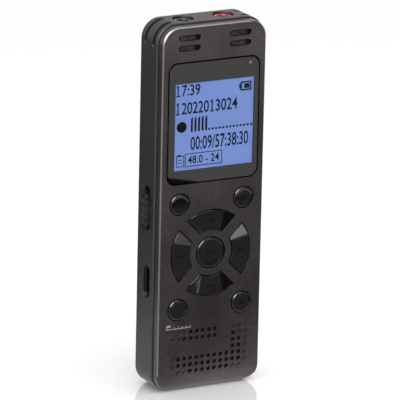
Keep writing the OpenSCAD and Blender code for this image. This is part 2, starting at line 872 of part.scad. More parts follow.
module mic_mesh(side) {
    half = lip_inner_z - mic_z - 0.02;
    margin = 0.7;
    color("#9a9a9c")
        translate([side * mic_x, 0, 0])
            slab(mic_slot_l + 2 * margin, mic_z - half, mic_z + half, 1, panel_t, panel_t + mesh_t);
}

// a strip of mesh bent behind the slots that wrap a top corner
module corner_mesh(side) {
    start = side > 0 ? -14 : 82;
    strip_t = 0.3;
    end_gap = 0.1;
    strip_d = cover_d - lip_run - end_gap;
    color("#2a2a2c")
        translate([side * (body_w / 2 - corner_r), front_y + strip_d, body_h - corner_r])
            rotate([90, 0, 0])
                rotate([0, 0, start])
                    rotate_extrude(angle = 112)
                        translate([cavity_r - strip_t, 0])
                            square([strip_t, strip_d - frame_d - lip_run - end_gap]);
}

// ---- sockets ----

module audio_socket(side) {
    mouth = 0.35;
    end_wall = 0.8;
    difference() {
        union() {
            block(side * jack_x - jack_w / 2, side * jack_x + jack_w / 2, jack_d - jack_t / 2,
                jack_d + jack_t / 2, jack_top - jack_l, jack_top);
            translate([side * jack_x, front_y + jack_d, jack_top - bite])
                cylinder(h = body_h - collar_sink - jack_top + bite, r = collar_r);
        }
        translate([side * jack_x, front_y + jack_d, jack_top - jack_l + end_wall])
            cylinder(h = jack_l + 2 * over, r = jack_bore_r);
        translate([side * jack_x, front_y + jack_d, body_h - collar_sink - mouth])
            cylinder(h = mouth + 0.01, r1 = jack_bore_r, r2 = jack_bore_r + mouth + 0.01);
    }
}

// the three legs that a socket stands on
module audio_contacts(side) {
    leg_w = 1.4;
    leg_half = 2.2;
    color("#c8b26a")
        for (z = [2, 5, 8])
            block(side * jack_x - leg_half, side * jack_x + leg_half, board_back, board_back + jack_lift,
                jack_top - z - leg_w, jack_top - z);
}

module headphone_socket() {
    color("#161617")
        audio_socket(-1);
}

module input_socket() {
    color("#b3202a")
        audio_socket(1);
}

module usb_shell() {
    x0 = -body_w / 2 + usb_sink;
    color("#a9abae")
        difference() {
            side_slot(usb_l, usb_t, usb_d, usb_z, x0, x0 + usb_reach);
            side_slot(usb_l - 2 * usb_wall, usb_t - 2 * usb_wall, usb_d, usb_z, x0 - over,
                x0 + usb_reach - usb_wall);
        }
}

// the plastic block at the back of the USB socket, with the tongue that a plug closes round
module usb_tongue() {
    x0 = -body_w / 2 + usb_sink;
    x1 = x0 + usb_reach - usb_wall;
    root = 1.2;
    recess = 0.8;
    half_l = 3.35;
    half_t = 0.35;
    color("#1a1a1b") {
        side_slot(usb_l - 2 * usb_wall, usb_t - 2 * usb_wall, usb_d, usb_z, x1 - root, x1);
        block(x0 + recess, x1 - root / 2, usb_d - half_t, usb_d + half_t, usb_z - half_l, usb_z + half_l);
    }
}

// ---- slide switch ----

module switch_body() {
    slot_in = 1.5;
    slot_half = 0.8;
    color("#b4b6b9")
        difference() {
            block(switch_x, switch_x + switch_w, board_back, board_back + switch_w, knob_z - switch_l / 2,
                knob_z + switch_l / 2);
            block(switch_x - over, switch_x + slot_in, switch_d - slot_half, switch_d + slot_half,
                knob_z - lever_half - knob_gap, knob_z + lever_half + switch_travel + knob_gap);
        }
}

module switch_lever() {
    half_t = 0.5;
    reach_in = 1.2;
    color("#dcdcd8")
        block(-cavity_w / 2 + plate_gap + knob_plate_t, switch_x + reach_in, switch_d - half_t,
            switch_d + half_t, knob_z - lever_half, knob_z + lever_half);
}

module switch_knob() {
    x_out = -body_w / 2 - knob_proud;
    x_plate = -cavity_w / 2 + plate_gap;
    x_mid = x_plate + knob_plate_t / 2;
    plate_half = knob_w / 2 + 0.35;
    prong_half = 0.25;
    prong_gap = 0.05;
    groove_d = 0.5;
    groove_half = 0.35;
    pitch = knob_l / knob_ribs;
    color("#1d1d1f")
        difference() {
            union() {
                side_slot(knob_l, knob_w, switch_d, knob_z, x_out, x_mid);
                block(x_plate, x_plate + knob_plate_t, switch_d - plate_half, switch_d + plate_half,
                    knob_z - knob_plate_l / 2, knob_z + knob_plate_l / 2);
                // fork that straddles the lever
                for (side = [-1, 1]) {
                    prong_z = knob_z + side * (lever_half + prong_gap + prong_half);
                    block(x_mid, switch_x - 0.2, switch_d - 0.7, switch_d + 0.7, prong_z - prong_half,
                        prong_z + prong_half);
                }
            }
            for (i = [1:knob_ribs - 1]) {
                groove_z = knob_z - knob_l / 2 + i * pitch;
                block(x_out - over, x_out + groove_d, switch_d - knob_w, switch_d + knob_w,
                    groove_z - groove_half, groove_z + groove_half);
            }
        }
}

// ---- speaker ----

// the speaker's outline moved in by inset, solid from depth d0 to d1
module speaker_slab(inset, r, d0, d1) {
    half_h = speaker_h / 2 - inset;
    slab(speaker_w - 2 * inset, speaker_z - half_h, speaker_z + half_h, r, d0, d1);
}

module speaker_basket() {
    color("#26272a")
        difference() {
            speaker_slab(0, speaker_r, speaker_front, speaker_back);
            speaker_slab(basket_wall, speaker_r - basket_wall, speaker_front - over,
                speaker_back - basket_floor);
        }
}

module speaker_cone() {
    surround = 2.5;
    color("#8f7f62")
        difference() {
            speaker_slab(basket_wall, speaker_r - basket_wall, speaker_front + 0.5, speaker_front + 1);
            speaker_slab(basket_wall + surround, 1, speaker_front, speaker_front + 0.7);
        }
}

module speaker_magnet() {
    magnet_w = 10;
    magnet_half_h = 3.4;
    color("#bdbfc2")
        slab(magnet_w, speaker_z - magnet_half_h, speaker_z + magnet_half_h, 1, speaker_front + 1,
            speaker_back - basket_floor);
}

module speaker_gasket() {
    d = panel_t + mesh_t;
    color("#0f0f10")
        difference() {
            speaker_slab(0, speaker_r, d, d + gasket_t);
            speaker_slab(gasket_w, speaker_r - gasket_w, d - over, d + gasket_t + over);
        }
}

module speaker_cloth() {
    color("#0b0b0c")
        intersection() {
            speaker_slab(0, speaker_r, panel_t, panel_t + mesh_t);
            behind_face(panel_t);
        }
}

// two insulated wires that lie on the board's back and end at the speaker
module speaker_leads() {
    wire_r = 0.35;
    speaker_top = speaker_z + speaker_h / 2;
    color("#8c1f1f")
        for (x = [-speaker_lead_x, speaker_lead_x])
            translate([x, front_y + board_back + wire_r, speaker_top])
                cylinder(h = board_z + 1.5 - speaker_top, r = wire_r);
}

// ---- battery ----

module battery() {
    color("#b9bcc2")
        translate([battery_x, 0, 0])
            slab(battery_w, battery_z, battery_z + battery_h, 0.8, battery_front, battery_back);
}

module battery_pad() {
    color("#e8e6df")
        translate([battery_x, 0, 0])
            slab(battery_w - 2 * pad_inset, battery_z + 2 * pad_inset, battery_z + battery_h - 2 * pad_inset,
                0.5, battery_back, cover_d);
}

module battery_connector() {
    color("#ece9df")
        block(connector_x - 2, connector_x + 2, board_back, board_back + connector_t,
            battery_z - lead_l - connector_h, battery_z - lead_l);
}

module battery_leads() {
    color("#a3161c")
        for (x = [-0.8, 0.8])
            translate([connector_x + x, front_y + battery_front + lead_r + 0.1, battery_z - lead_l])
                cylinder(h = lead_l, r = lead_r);
}

// ---- keys ----

// the front of a round key: a disc with a rounded edge
module round_cap(r, proud) {
    h = proud + flange_d + flange_t / 2;
    translate([0, front_y - proud, 0])
        rotate([-90, 0, 0])
            rotate_extrude() {
                square([r - key_edge, h]);
                translate([0, key_edge])
                    square([r, h - key_edge]);
                translate([r - key_edge, key_edge])
                    circle(r = key_edge);
            }
}

module round_key(x, z) {
    color("#242427") {
        translate([x, 0, z])
            round_cap(round_r - key_gap, round_proud);
        peg(x, z, round_r + flange_w, flange_d, flange_d + flange_t);
        peg(x, z, post_r, flange_d, key_back_d);
    }
}

// all that lies behind a ring key's flat middle and its end on one side
module ring_facet(side) {
    reach = 2 * ring_r;
    drop = (reach - facet_at) * tan(facet_angle);
    back = 4;
    mirror([side > 0 ? 0 : 1, 0, 0])
        rotate([0, facet_lean, 0])
            translate([0, front_y - ring_proud, 0])
                linear_extrude(height = reach)
                    polygon([[-reach, 0], [facet_at, 0], [reach, drop], [reach, back], [-reach, back]]);
}

// a key of the control ring, turned clockwise from the top
module ring_key(turn) {
    color("#222225")
        translate([0, 0, ring_z])
            rotate([0, turn, 0]) {
                intersection() {
                    deep(-ring_proud, flange_d + flange_t / 2)
                        ring_shape(-key_gap);
                    ring_facet(1);
                    ring_facet(-1);
                }
                deep(flange_d, flange_d + flange_t)
                    ring_shape(flange_w);
                peg(0, ring_post_r, post_r, flange_d, key_back_d);
            }
}

module key_play() {
    dish_r = centre_r - key_gap - 2 * key_edge;
    ball_r = (dish_r * dish_r + dish_d * dish_d) / (2 * dish_d);
    color("#202023") {
        difference() {
            translate([0, 0, ring_z])
                round_cap(centre_r - key_gap, centre_proud);
            translate([0, front_y - centre_proud + dish_d - ball_r, ring_z])
                sphere(r = ball_r, $fn = 128);
        }
        peg(0, ring_z, centre_r + flange_w, flange_d, flange_d + flange_t);
        peg(0, ring_z, post_r, flange_d, key_back_d);
    }
}

front_panel();
mid_frame();
back_cover();
cover_screws();
support_frame();
display_window();
window_adhesive();
lcd_glass();
lcd_backlight();
lcd_flex();
light_pipe();
status_led();
main_board();
board_screws();
processor();
flash_memory();
audio_codec();
clock_crystal();
board_capacitors();
key_domes();
dome_film();
mic(-1);  // mic_left
mic(1);  // mic_right
mic_boot(-1);  // mic_boot_left
mic_boot(1);  // mic_boot_right
mic_mesh(-1);  // mic_mesh_left
mic_mesh(1);  // mic_mesh_right
corner_mesh(-1);  // corner_mesh_left
corner_mesh(1);  // corner_mesh_right
headphone_socket();
audio_contacts(-1);  // headphone_contacts
input_socket();
audio_contacts(1);  // input_contacts
usb_shell();
usb_tongue();
switch_body();
switch_lever();
switch_knob();
speaker_basket();
speaker_cone();
speaker_magnet();
speaker_gasket();
speaker_cloth();
speaker_leads();
battery();
battery_pad();
battery_connector();
battery_leads();
round_key(-round_x, round_high_z);  // key_menu
round_key(round_x, round_high_z);  // key_record
round_key(-round_x, round_low_z);  // key_mark
round_key(round_x, round_low_z);  // key_stop
ring_key(0);  // key_volume_up
ring_key(90);  // key_next
ring_key(180);  // key_volume_down
ring_key(270);  // key_previous
key_play();
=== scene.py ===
import math

import bmesh
import bpy
from mathutils import Matrix, Vector


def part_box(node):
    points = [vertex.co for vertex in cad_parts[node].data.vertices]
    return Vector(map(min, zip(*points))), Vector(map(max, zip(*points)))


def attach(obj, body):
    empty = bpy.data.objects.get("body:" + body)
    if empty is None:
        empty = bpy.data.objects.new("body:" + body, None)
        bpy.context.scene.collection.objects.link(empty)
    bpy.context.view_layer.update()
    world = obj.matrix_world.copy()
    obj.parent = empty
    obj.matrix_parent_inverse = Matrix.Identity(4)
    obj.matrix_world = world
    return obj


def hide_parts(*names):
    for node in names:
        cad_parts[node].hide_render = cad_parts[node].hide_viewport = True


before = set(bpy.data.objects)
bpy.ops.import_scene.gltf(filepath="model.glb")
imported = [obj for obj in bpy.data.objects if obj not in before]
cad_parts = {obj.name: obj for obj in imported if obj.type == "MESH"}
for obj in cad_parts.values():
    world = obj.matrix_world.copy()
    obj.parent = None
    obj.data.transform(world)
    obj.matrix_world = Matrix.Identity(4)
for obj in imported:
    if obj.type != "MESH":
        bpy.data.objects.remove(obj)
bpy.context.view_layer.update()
mm = 0.001


# ---- camera ----
# It stands far back to the left of the front, a little above the recorder, with a long lens.
cam_turn = math.radians(28.49)
cam_rise = math.radians(15.76)
cam_roll = math.radians(1.25)
cam_target = Vector((0.9, 2.15, 50.1)) * mm
cam_distance = 1.35
to_cam = Vector((-math.sin(cam_turn) * math.cos(cam_rise), -math.cos(cam_turn) * math.cos(cam_rise),
                 math.sin(cam_rise)))
bpy.ops.object.camera_add(location=cam_target + cam_distance * to_cam)
camera = bpy.context.object
level_view = to_cam.to_track_quat("Z", "Y").to_matrix()
camera.rotation_euler = (level_view @ Matrix.Rotation(cam_roll, 3, "Z")).to_euler()
camera.data.sensor_width = 36
camera.data.lens = 454.3
bpy.context.scene.camera = camera
bpy.context.scene.view_settings.view_transform = "Standard"


# ---- floor and light ----
# A pale glossy table in a white room. The room fills from all round, soft boxes light the front, and
# cards that only reflections see give the gloss its bright and dark shapes.
bpy.ops.mesh.primitive_plane_add(size=6)
floor = bpy.context.object
floor.name = "floor"
floor_paint = bpy.data.materials.new("floor_paint")
floor_paint.use_nodes = True
floor_shader = floor_paint.node_tree.nodes["Principled BSDF"]
floor_shader.inputs["Base Color"].default_value = (0.84, 0.84, 0.845, 1)
floor_shader.inputs["Roughness"].default_value = 0.04
floor_shader.inputs["IOR"].default_value = 2.1
floor.data.materials.append(floor_paint)
floor.visible_glossy = floor.visible_transmission = False


def soft_box(name, place, aim, width, height, power):
    """An area light at place that points at aim, both in millimetres."""
    bpy.ops.object.light_add(type="AREA", location=Vector(place) * mm)
    box = bpy.context.object
    box.name = name
    box.data.shape = "RECTANGLE"
    box.data.size = width * mm
    box.data.size_y = height * mm
    box.data.energy = power
    facing = Vector(place) - Vector(aim)
    box.rotation_euler = facing.to_track_quat("Z", "Y").to_euler()
    return box


def card(name, corners, glow):
    """A flat card through these corners, in mm, that only reflections see. It glows; 0 is a black one."""
    bpy.ops.object.select_all(action="DESELECT")
    bpy.ops.mesh.primitive_circle_add(vertices=len(corners), fill_type="NGON")
    sheet = bpy.context.object
    sheet.name = name
    for vertex, corner in zip(sheet.data.vertices, corners):
        vertex.co = Vector(corner) * mm
    sheet.visible_camera = sheet.visible_diffuse = sheet.visible_shadow = False
    paint = bpy.data.materials.new(name + "_paint")
    paint.use_nodes = True
    shader = paint.node_tree.nodes["Principled BSDF"]
    shader.inputs["Base Color"].default_value = (0, 0, 0, 1)
    shader.inputs["Specular IOR Level"].default_value = 0
    shader.inputs["Emission Color"].default_value = (1, 1, 1, 1)
    shader.inputs["Emission Strength"].default_value = glow
    sheet.data.materials.append(paint)


soft_box("top_box", (40, -120, 520), (0, 0, 60), 420, 300, 1.2)
soft_box("left_box", (-520, -260, 60), (0, 0, 50), 200, 420, 0.3)
under = -1
card("table_glow", [(-262, -611, under), (101, -187, under), (600, -187, under), (600, -900, under),
                    (-262, -900, under)], 1.25)
card("table_shade", [(101, -187, under), (10, -294, under), (-200, -294, under), (0, -170, under),
                     (101, -170, under)], 0)
card("foot_glow", [(-90, -24, under), (90, -24, under), (90, 60, under), (-90, 60, under)], 1.35)
card("stripe_glow", [(22.8, -98, under), (36, -98, under), (36, -131, under), (22.8, -131, under)], 2.2)
card("dark_flag", [(54, -62, under), (58, -77, under), (80, -120, under), (112, -150, under),
                   (400, -150, under), (400, -20, under), (60, -20, under)], 0)
card("side_flag", [(-30, 62, under), (-30, 600, under), (-500, 600, under), (-500, 40, under)], 0)
card("bright_strip", [(130, -360, 8), (183, -360, 8), (183, -360, 56), (130, -360, 56)], 3.9)
card("dim_strip", [(187, -360, 8), (193.5, -360, 8), (194.5, -360, 23.5), (199, -360, 28),
                   (230, -360, 28), (230, -360, 56), (187, -360, 56)], 1.6)
card("rim_glow", [(-60, -560, 330), (-420, -420, 150), (-620, 0, 430), (-200, 0, 640)], 12)
card("back_glow", [(200, 260, 130), (420, 120, 130), (420, 120, 330), (200, 260, 330)], 4)

room = bpy.data.worlds.new("room")
room.use_nodes = True
bpy.context.scene.world = room
room_nodes = room.node_tree.nodes
room_links = room.node_tree.links
ray = room_nodes.new("ShaderNodeLightPath")
seen = room_nodes["Background"]
seen.inputs["Color"].default_value = (1, 1, 1, 1)
fill = room_nodes.new("ShaderNodeBackground")
fill.inputs["Strength"].default_value = 1.25
mirrored = room_nodes.new("ShaderNodeBackground")
room_way = room_nodes.new("ShaderNodeTexCoord")
room_axes = room_nodes.new("ShaderNodeSeparateXYZ")
front_to_back = room_nodes.new("ShaderNodeMapRange")
front_to_back.inputs["From Min"].default_value = -0.6
front_to_back.inputs["From Max"].default_value = 0.6
front_to_back.inputs["To Min"].default_value = 0.35
front_to_back.inputs["To Max"].default_value = 1.35
mirror_or_fill = room_nodes.new("ShaderNodeMixShader")
seen_or_not = room_nodes.new("ShaderNodeMixShader")
room_links.new(room_way.outputs["Generated"], room_axes.inputs["Vector"])
room_links.new(room_axes.outputs["Y"], front_to_back.inputs["Value"])
room_links.new(front_to_back.outputs["Result"], mirrored.inputs["Strength"])
room_links.new(ray.outputs["Is Diffuse Ray"], mirror_or_fill.inputs["Fac"])
room_links.new(mirrored.outputs["Background"], mirror_or_fill.inputs[1])
room_links.new(fill.outputs["Background"], mirror_or_fill.inputs[2])
room_links.new(ray.outputs["Is Camera Ray"], seen_or_not.inputs["Fac"])
room_links.new(mirror_or_fill.outputs["Shader"], seen_or_not.inputs[1])
room_links.new(seen.outputs["Background"], seen_or_not.inputs[2])
room_links.new(seen_or_not.outputs["Shader"], room_nodes["World Output"].inputs["Surface"])


# ---- front panel ----
# A drawn aluminium face, 0.8 mm thick, curled back at its foot, blasted to a fine grain and dyed a warm
# dark grey. Its edge is cut with a diamond tool, so it shines; its light colour is also a painted highlight,
# put only on the middle slope of the chamfer and above the curl. It is glued round the frame's lip.
front_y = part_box("front_panel")[0].y


def colour(red, green, blue):
    """A screen colour, 0 to 255, as the linear colour that a shader takes."""
    parts = [c / 255 for c in (red, green, blue)]
    return [c / 12.92 if c < 0.04045 else ((c + 0.055) / 1.055) ** 2.4 for c in parts] + [1]


def only(*pieces):
    """Selects these pieces and nothing else; the first is the active one."""
    bpy.ops.object.select_all(action="DESELECT")
    for piece in pieces:
        piece.select_set(True)
    bpy.context.view_layer.objects.active = pieces[0]


def merged_copy(node, name):
    """A copy of a CAD node as one closed mesh, with each flat face in one piece."""
    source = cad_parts[node]
    piece = bpy.data.objects.new(name, source.data.copy())
    bpy.context.scene.collection.objects.link(piece)
    piece.data.materials.clear()
    only(piece)
    bpy.ops.mesh.customdata_custom_splitnormals_clear()
    bpy.ops.object.mode_set(mode="EDIT")
    bpy.ops.mesh.select_all(action="SELECT")
    bpy.ops.mesh.remove_doubles(threshold=0.001 * mm)
    bpy.ops.mesh.dissolve_limited(angle_limit=math.radians(0.4))
    bpy.ops.object.mode_set(mode="OBJECT")
    return piece


def round_edges(piece, width, segments, low=25, high=180, where=None):
    """Bevels the edges whose fold is between low and high degrees, and whose middle passes where."""
    mesh = bmesh.new()
    mesh.from_mesh(piece.data)
    mesh.select_mode = {"EDGE"}
    for face in mesh.faces:
        face.select_set(False)
    for edge in mesh.edges:
        fold = math.degrees(edge.calc_face_angle(0))
        middle = (edge.verts[0].co + edge.verts[1].co) / 2
        edge.select_set(low < fold < high and (where is None or where(middle)))
    mesh.to_mesh(piece.data)
    mesh.free()
    only(piece)
    bpy.context.tool_settings.mesh_select_mode = (False, True, False)
    bpy.ops.object.mode_set(mode="EDIT")
    bpy.ops.mesh.bevel(offset=width * mm, segments=segments, affect="EDGES", clamp_overlap=False)
    bpy.ops.object.mode_set(mode="OBJECT")


def smooth(piece, angle=50):
    """Smooth shading over folds under this angle, in which the large flat faces stay flat."""
    only(piece)
    bpy.ops.object.shade_smooth_by_angle(angle=math.radians(angle))
    bpy.ops.object.modifier_add(type="WEIGHTED_NORMAL")
    piece.modifiers[-1].keep_sharp = True
    bpy.ops.object.modifier_apply(modifier=piece.modifiers[-1].name)


def settle(piece, body, slot, materials, *nodes):
    """Gives a finished piece its materials and its body, and hides the CAD nodes it stands for. slot is not
    used.
    """
    for material in materials:
        piece.data.materials.append(material)
    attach(piece, body)
    if nodes:
        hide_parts(*nodes)


def new_group(name, inputs, outputs):
    """An empty shader group with these inputs, as name to default, and outputs, as name to kind."""
    group = bpy.data.node_groups.new(name, "ShaderNodeTree")
    for label, value in inputs.items():
        kind = "NodeSocketFloat"
        if isinstance(value, (list, tuple)):
            kind = "NodeSocketColor" if len(value) == 4 else "NodeSocketVector"
        group.interface.new_socket(label, in_out="INPUT", socket_type=kind).default_value = value
    for label, kind in outputs.items():
        group.interface.new_socket(label, in_out="OUTPUT", socket_type=kind)
    return group, group.nodes.new("NodeGroupInput"), group.nodes.new("NodeGroupOutput")


# The grain group: a fine grain that may be drawn out into brush marks, over a broad drift of tone.
grain_group, grain_in, grain_out = new_group(
    "grain",
    {"Colour": (0.1, 0.1, 0.1, 1), "Second": (0.2, 0.2, 0.2, 1), "Stretch": (1, 1, 1), "Fine": 6000.0,
     "Broad": 60.0, "Rough": 0.5, "Spread": 0.1},
    {"Colour": "NodeSocketColor", "Roughness": "NodeSocketFloat", "Height": "NodeSocketFloat"})
grain_place = grain_group.nodes.new("ShaderNodeTexCoord")
grain_stretch = grain_group.nodes.new("ShaderNodeVectorMath")
grain_stretch.operation = "MULTIPLY"
grain_fine = grain_group.nodes.new("ShaderNodeTexNoise")
grain_fine.inputs["Detail"].default_value = 3
grain_broad = grain_group.nodes.new("ShaderNodeTexNoise")
grain_broad.inputs["Detail"].default_value = 2
grain_sum = grain_group.nodes.new("ShaderNodeMath")
grain_sum.operation = "MULTIPLY"
grain_tone = grain_group.nodes.new("ShaderNodeMix")
grain_tone.data_type = "RGBA"
grain_swing = grain_group.nodes.new("ShaderNodeMapRange")
grain_swing.inputs["To Min"].default_value = -0.5
grain_swing.inputs["To Max"].default_value = 0.5
grain_rough = grain_group.nodes.new("ShaderNodeMath")
grain_rough.operation = "MULTIPLY_ADD"
for source, target in (
        (grain_place.outputs["Object"], grain_stretch.inputs[0]),
        (grain_in.outputs["Stretch"], grain_stretch.inputs[1]),
        (grain_stretch.outputs[0], grain_fine.inputs["Vector"]),
        (grain_in.outputs["Fine"], grain_fine.inputs["Scale"]),
        (grain_place.outputs["Object"], grain_broad.inputs["Vector"]),
        (grain_in.outputs["Broad"], grain_broad.inputs["Scale"]),
        (grain_fine.outputs["Fac"], grain_sum.inputs[0]),
        (grain_broad.outputs["Fac"], grain_sum.inputs[1]),
        (grain_sum.outputs[0], grain_tone.inputs["Factor"]),
        (grain_in.outputs["Colour"], grain_tone.inputs["A"]),
        (grain_in.outputs["Second"], grain_tone.inputs["B"]),
        (grain_fine.outputs["Fac"], grain_swing.inputs["Value"]),
        (grain_swing.outputs["Result"], grain_rough.inputs[0]),
        (grain_in.outputs["Spread"], grain_rough.inputs[1]),
        (grain_in.outputs["Rough"], grain_rough.inputs[2]),
        (grain_tone.outputs["Result"], grain_out.inputs["Colour"]),
        (grain_rough.outputs[0], grain_out.inputs["Roughness"]),
        (grain_fine.outputs["Fac"], grain_out.inputs["Height"])):
    grain_group.links.new(source, target)

# The wear group: handling rubs the edges and corners to a lighter tone.
wear_group, wear_in, wear_out = new_group(
    "wear",
    {"Colour": (0.1, 0.1, 0.1, 1), "Worn": (0.3, 0.3, 0.3, 1), "Amount": 0.5},
    {"Colour": "NodeSocketColor"})
wear_shape = wear_group.nodes.new("ShaderNodeNewGeometry")
wear_edge = wear_group.nodes.new("ShaderNodeMapRange")
wear_edge.inputs["From Min"].default_value = 0.52
wear_edge.inputs["From Max"].default_value = 0.62
wear_place = wear_group.nodes.new("ShaderNodeTexCoord")
wear_patch = wear_group.nodes.new("ShaderNodeTexNoise")
wear_patch.inputs["Scale"].default_value = 700
wear_both = wear_group.nodes.new("ShaderNodeMath")
wear_both.operation = "MULTIPLY"
wear_share = wear_group.nodes.new("ShaderNodeMath")
wear_share.operation = "MULTIPLY"
wear_tone = wear_group.nodes.new("ShaderNodeMix")
wear_tone.data_type = "RGBA"
for source, target in (
        (wear_shape.outputs["Pointiness"], wear_edge.inputs["Value"]),
        (wear_place.outputs["Object"], wear_patch.inputs["Vector"]),
        (wear_edge.outputs["Result"], wear_both.inputs[0]),
        (wear_patch.outputs["Fac"], wear_both.inputs[1]),
        (wear_both.outputs[0], wear_share.inputs[0]),
        (wear_in.outputs["Amount"], wear_share.inputs[1]),
        (wear_share.outputs[0], wear_tone.inputs["Factor"]),
        (wear_in.outputs["Colour"], wear_tone.inputs["A"]),
        (wear_in.outputs["Worn"], wear_tone.inputs["B"]),
        (wear_tone.outputs["Result"], wear_out.inputs["Colour"])):
    wear_group.links.new(source, target)


def grained(name, base, second, fine=6000.0, broad=60.0, rough=0.5, spread=0.1, stretch=(1, 1, 1),
            bump=0.1, worn=None, wear=0.6, **plain):
    """A finish from the grain group, rubbed at its edges where worn is given. plain sets shader sockets."""
    material = bpy.data.materials.new(name)
    material.use_nodes = True
    nodes, links = material.node_tree.nodes, material.node_tree.links
    shader = nodes["Principled BSDF"]
    grain = nodes.new("ShaderNodeGroup")
    grain.node_tree = grain_group
    for label, value in {"Colour": base, "Second": second, "Stretch": stretch, "Fine": fine,
                         "Broad": broad, "Rough": rough, "Spread": spread}.items():
        grain.inputs[label].default_value = value
    last = grain
    if worn is not None:
        rubbed = nodes.new("ShaderNodeGroup")
        rubbed.node_tree = wear_group
        rubbed.inputs["Worn"].default_value = worn
        rubbed.inputs["Amount"].default_value = wear
        links.new(grain.outputs["Colour"], rubbed.inputs["Colour"])
        last = rubbed
    relief = nodes.new("ShaderNodeBump")
    relief.inputs["Strength"].default_value = bump
    relief.inputs["Distance"].default_value = 0.02 * mm
    links.new(last.outputs["Colour"], shader.inputs["Base Color"])
    links.new(grain.outputs["Roughness"], shader.inputs["Roughness"])
    links.new(grain.outputs["Height"], relief.inputs["Height"])
    links.new(relief.outputs["Normal"], shader.inputs["Normal"])
    for label, value in plain.items():
        shader.inputs[label.replace("_", " ")].default_value = value
    return material


panel_metal = grained("panel_metal", colour(41, 37, 37), colour(120, 111, 111), fine=3400, rough=0.42,
                      spread=0.3, bump=0.3, Metallic=0.85)
# Painted highlight: the cut edge's light metal colour is raised to stand for the shine along the chamfer.
cut_edge_with_painted_highlight = grained("cut_edge_with_painted_highlight", colour(106, 102, 100), colour(136, 131, 128), fine=9000, rough=0.32,
                   stretch=(0.2, 0.2, 0.2), Metallic=0.9)
# Painted shade: the walls of the panel's holes and dimples are near black with little gloss, for the shade
# inside them.
opening_wall_painted_shade = grained("opening_wall_painted_shade", colour(2, 2, 2), colour(5, 5, 5), fine=6000, rough=0.7,
                       Specular_IOR_Level=0.1)
panel_shell = merged_copy("front_panel", "panel_shell")
panel_low, panel_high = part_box("front_panel")
bevel_band = 0.5 * mm
curl_top = 5 * mm
panel_back = front_y + 0.82 * mm
painted_highlight_slopes = (0.6, 0.8)


def on_rim(point):
    """Whether a point of the panel is in the band of its outer bevel."""
    side = panel_high.x - abs(point.x) < bevel_band
    end = min(panel_high.z - point.z, point.z - panel_low.z) < bevel_band
    corner_r = 4.8 * mm
    out = Vector((abs(point.x) - panel_high.x + corner_r, point.z - panel_high.z + corner_r))
    corner = min(out) > 0 and out.length > corner_r - bevel_band
    return side or end or corner


round_edges(panel_shell, 0.12, 3, where=lambda p: on_rim(p) and p.y < front_y + 2 * mm)
round_edges(panel_shell, 0.06, 2, low=60, where=lambda p: not on_rim(p))
smooth(panel_shell)
settle(panel_shell, "casing", "panel_metal", [panel_metal, cut_edge_with_painted_highlight, opening_wall_painted_shade], "front_panel")
# Painted highlight: the light edge colour goes only on chamfer faces of the middle slope, above the curl.
for face in panel_shell.data.polygons:
    if on_rim(face.center):
        face.material_index = int(painted_highlight_slopes[0] < -face.normal.y < painted_highlight_slopes[1]
                                  and face.center.z > curl_top)
    # Painted shade: side walls of holes and dimples above the curl get the near-black wall colour.
    elif abs(face.normal.y) < 0.5 and face.center.y < panel_back and face.center.z > curl_top:
        face.material_index = 2


# ---- frame ----
# The tray that holds everything: black ABS, injection moulded with a fine spark-eroded grain. Its edges
# are rubbed a little smoother and paler where a hand holds it.
frame_plastic = grained("frame_plastic", colour(20, 19, 21), colour(32, 31, 34), fine=5200, broad=45,
                        rough=0.5, spread=0.2, bump=0.35, worn=colour(70, 68, 72), wear=0.5,
                        Specular_IOR_Level=0.35)
frame_moulding = merged_copy("mid_frame", "frame_moulding")
round_edges(frame_moulding, 0.08, 2)
smooth(frame_moulding)
settle(frame_moulding, "casing", "frame_plastic", [frame_plastic], "mid_frame")


# ---- back cover and its screws ----
# A 1 mm aluminium plate, blasted and dyed like the panel, which four black countersunk screws hold
# against the ledge inside the frame.
cover_metal = grained("cover_metal", colour(82, 76, 74), colour(98, 91, 88), fine=9000, rough=0.45,
                      spread=0.16, bump=0.25, worn=colour(150, 142, 136), Metallic=0.85)
back_plate = merged_copy("back_cover", "back_plate")
round_edges(back_plate, 0.08, 3)
smooth(back_plate)
settle(back_plate, "casing", "cover_metal", [cover_metal], "back_cover")

black_steel = grained("black_steel", colour(40, 40, 42), colour(58, 57, 58), fine=14000, rough=0.35,
                      spread=0.2, worn=colour(150, 150, 152), wear=0.8, Metallic=0.9)
cover_screw_set = merged_copy("cover_screws", "cover_screw_set")
round_edges(cover_screw_set, 0.03, 2)
smooth(cover_screw_set)
settle(cover_screw_set, "casing", "black_steel", [black_steel], "cover_screws")


# ---- window ----
# A 1 mm acrylic lens, clear all through, with a glossy black border silk-screened on its face that leaves
# the display open, and a grey spot for the status light. Thin black tape holds it in the support frame.
window_plastic = bpy.data.materials.new("window_plastic")
window_plastic.use_nodes = True
lens_shader = window_plastic.node_tree.nodes["Principled BSDF"]
lens_shader.inputs["Base Color"].default_value = (0.93, 0.94, 0.95, 1)
lens_shader.inputs["Transmission Weight"].default_value = 1
lens_shader.inputs["IOR"].default_value = 1.12
lens_grain = window_plastic.node_tree.nodes.new("ShaderNodeTexNoise")
lens_grain.inputs["Scale"].default_value = 260
lens_smear = window_plastic.node_tree.nodes.new("ShaderNodeMapRange")
lens_smear.inputs["To Min"].default_value = 0.0
lens_smear.inputs["To Max"].default_value = 0.05
lens_place = window_plastic.node_tree.nodes.new("ShaderNodeTexCoord")
window_plastic.node_tree.links.new(lens_place.outputs["Object"], lens_grain.inputs["Vector"])
window_plastic.node_tree.links.new(lens_grain.outputs["Fac"], lens_smear.inputs["Value"])
window_plastic.node_tree.links.new(lens_smear.outputs["Result"], lens_shader.inputs["Roughness"])
window_lens = merged_copy("display_window", "window_lens")
round_edges(window_lens, 0.05, 3)
smooth(window_lens)
settle(window_lens, "casing", "window_plastic", [window_plastic], "display_window")

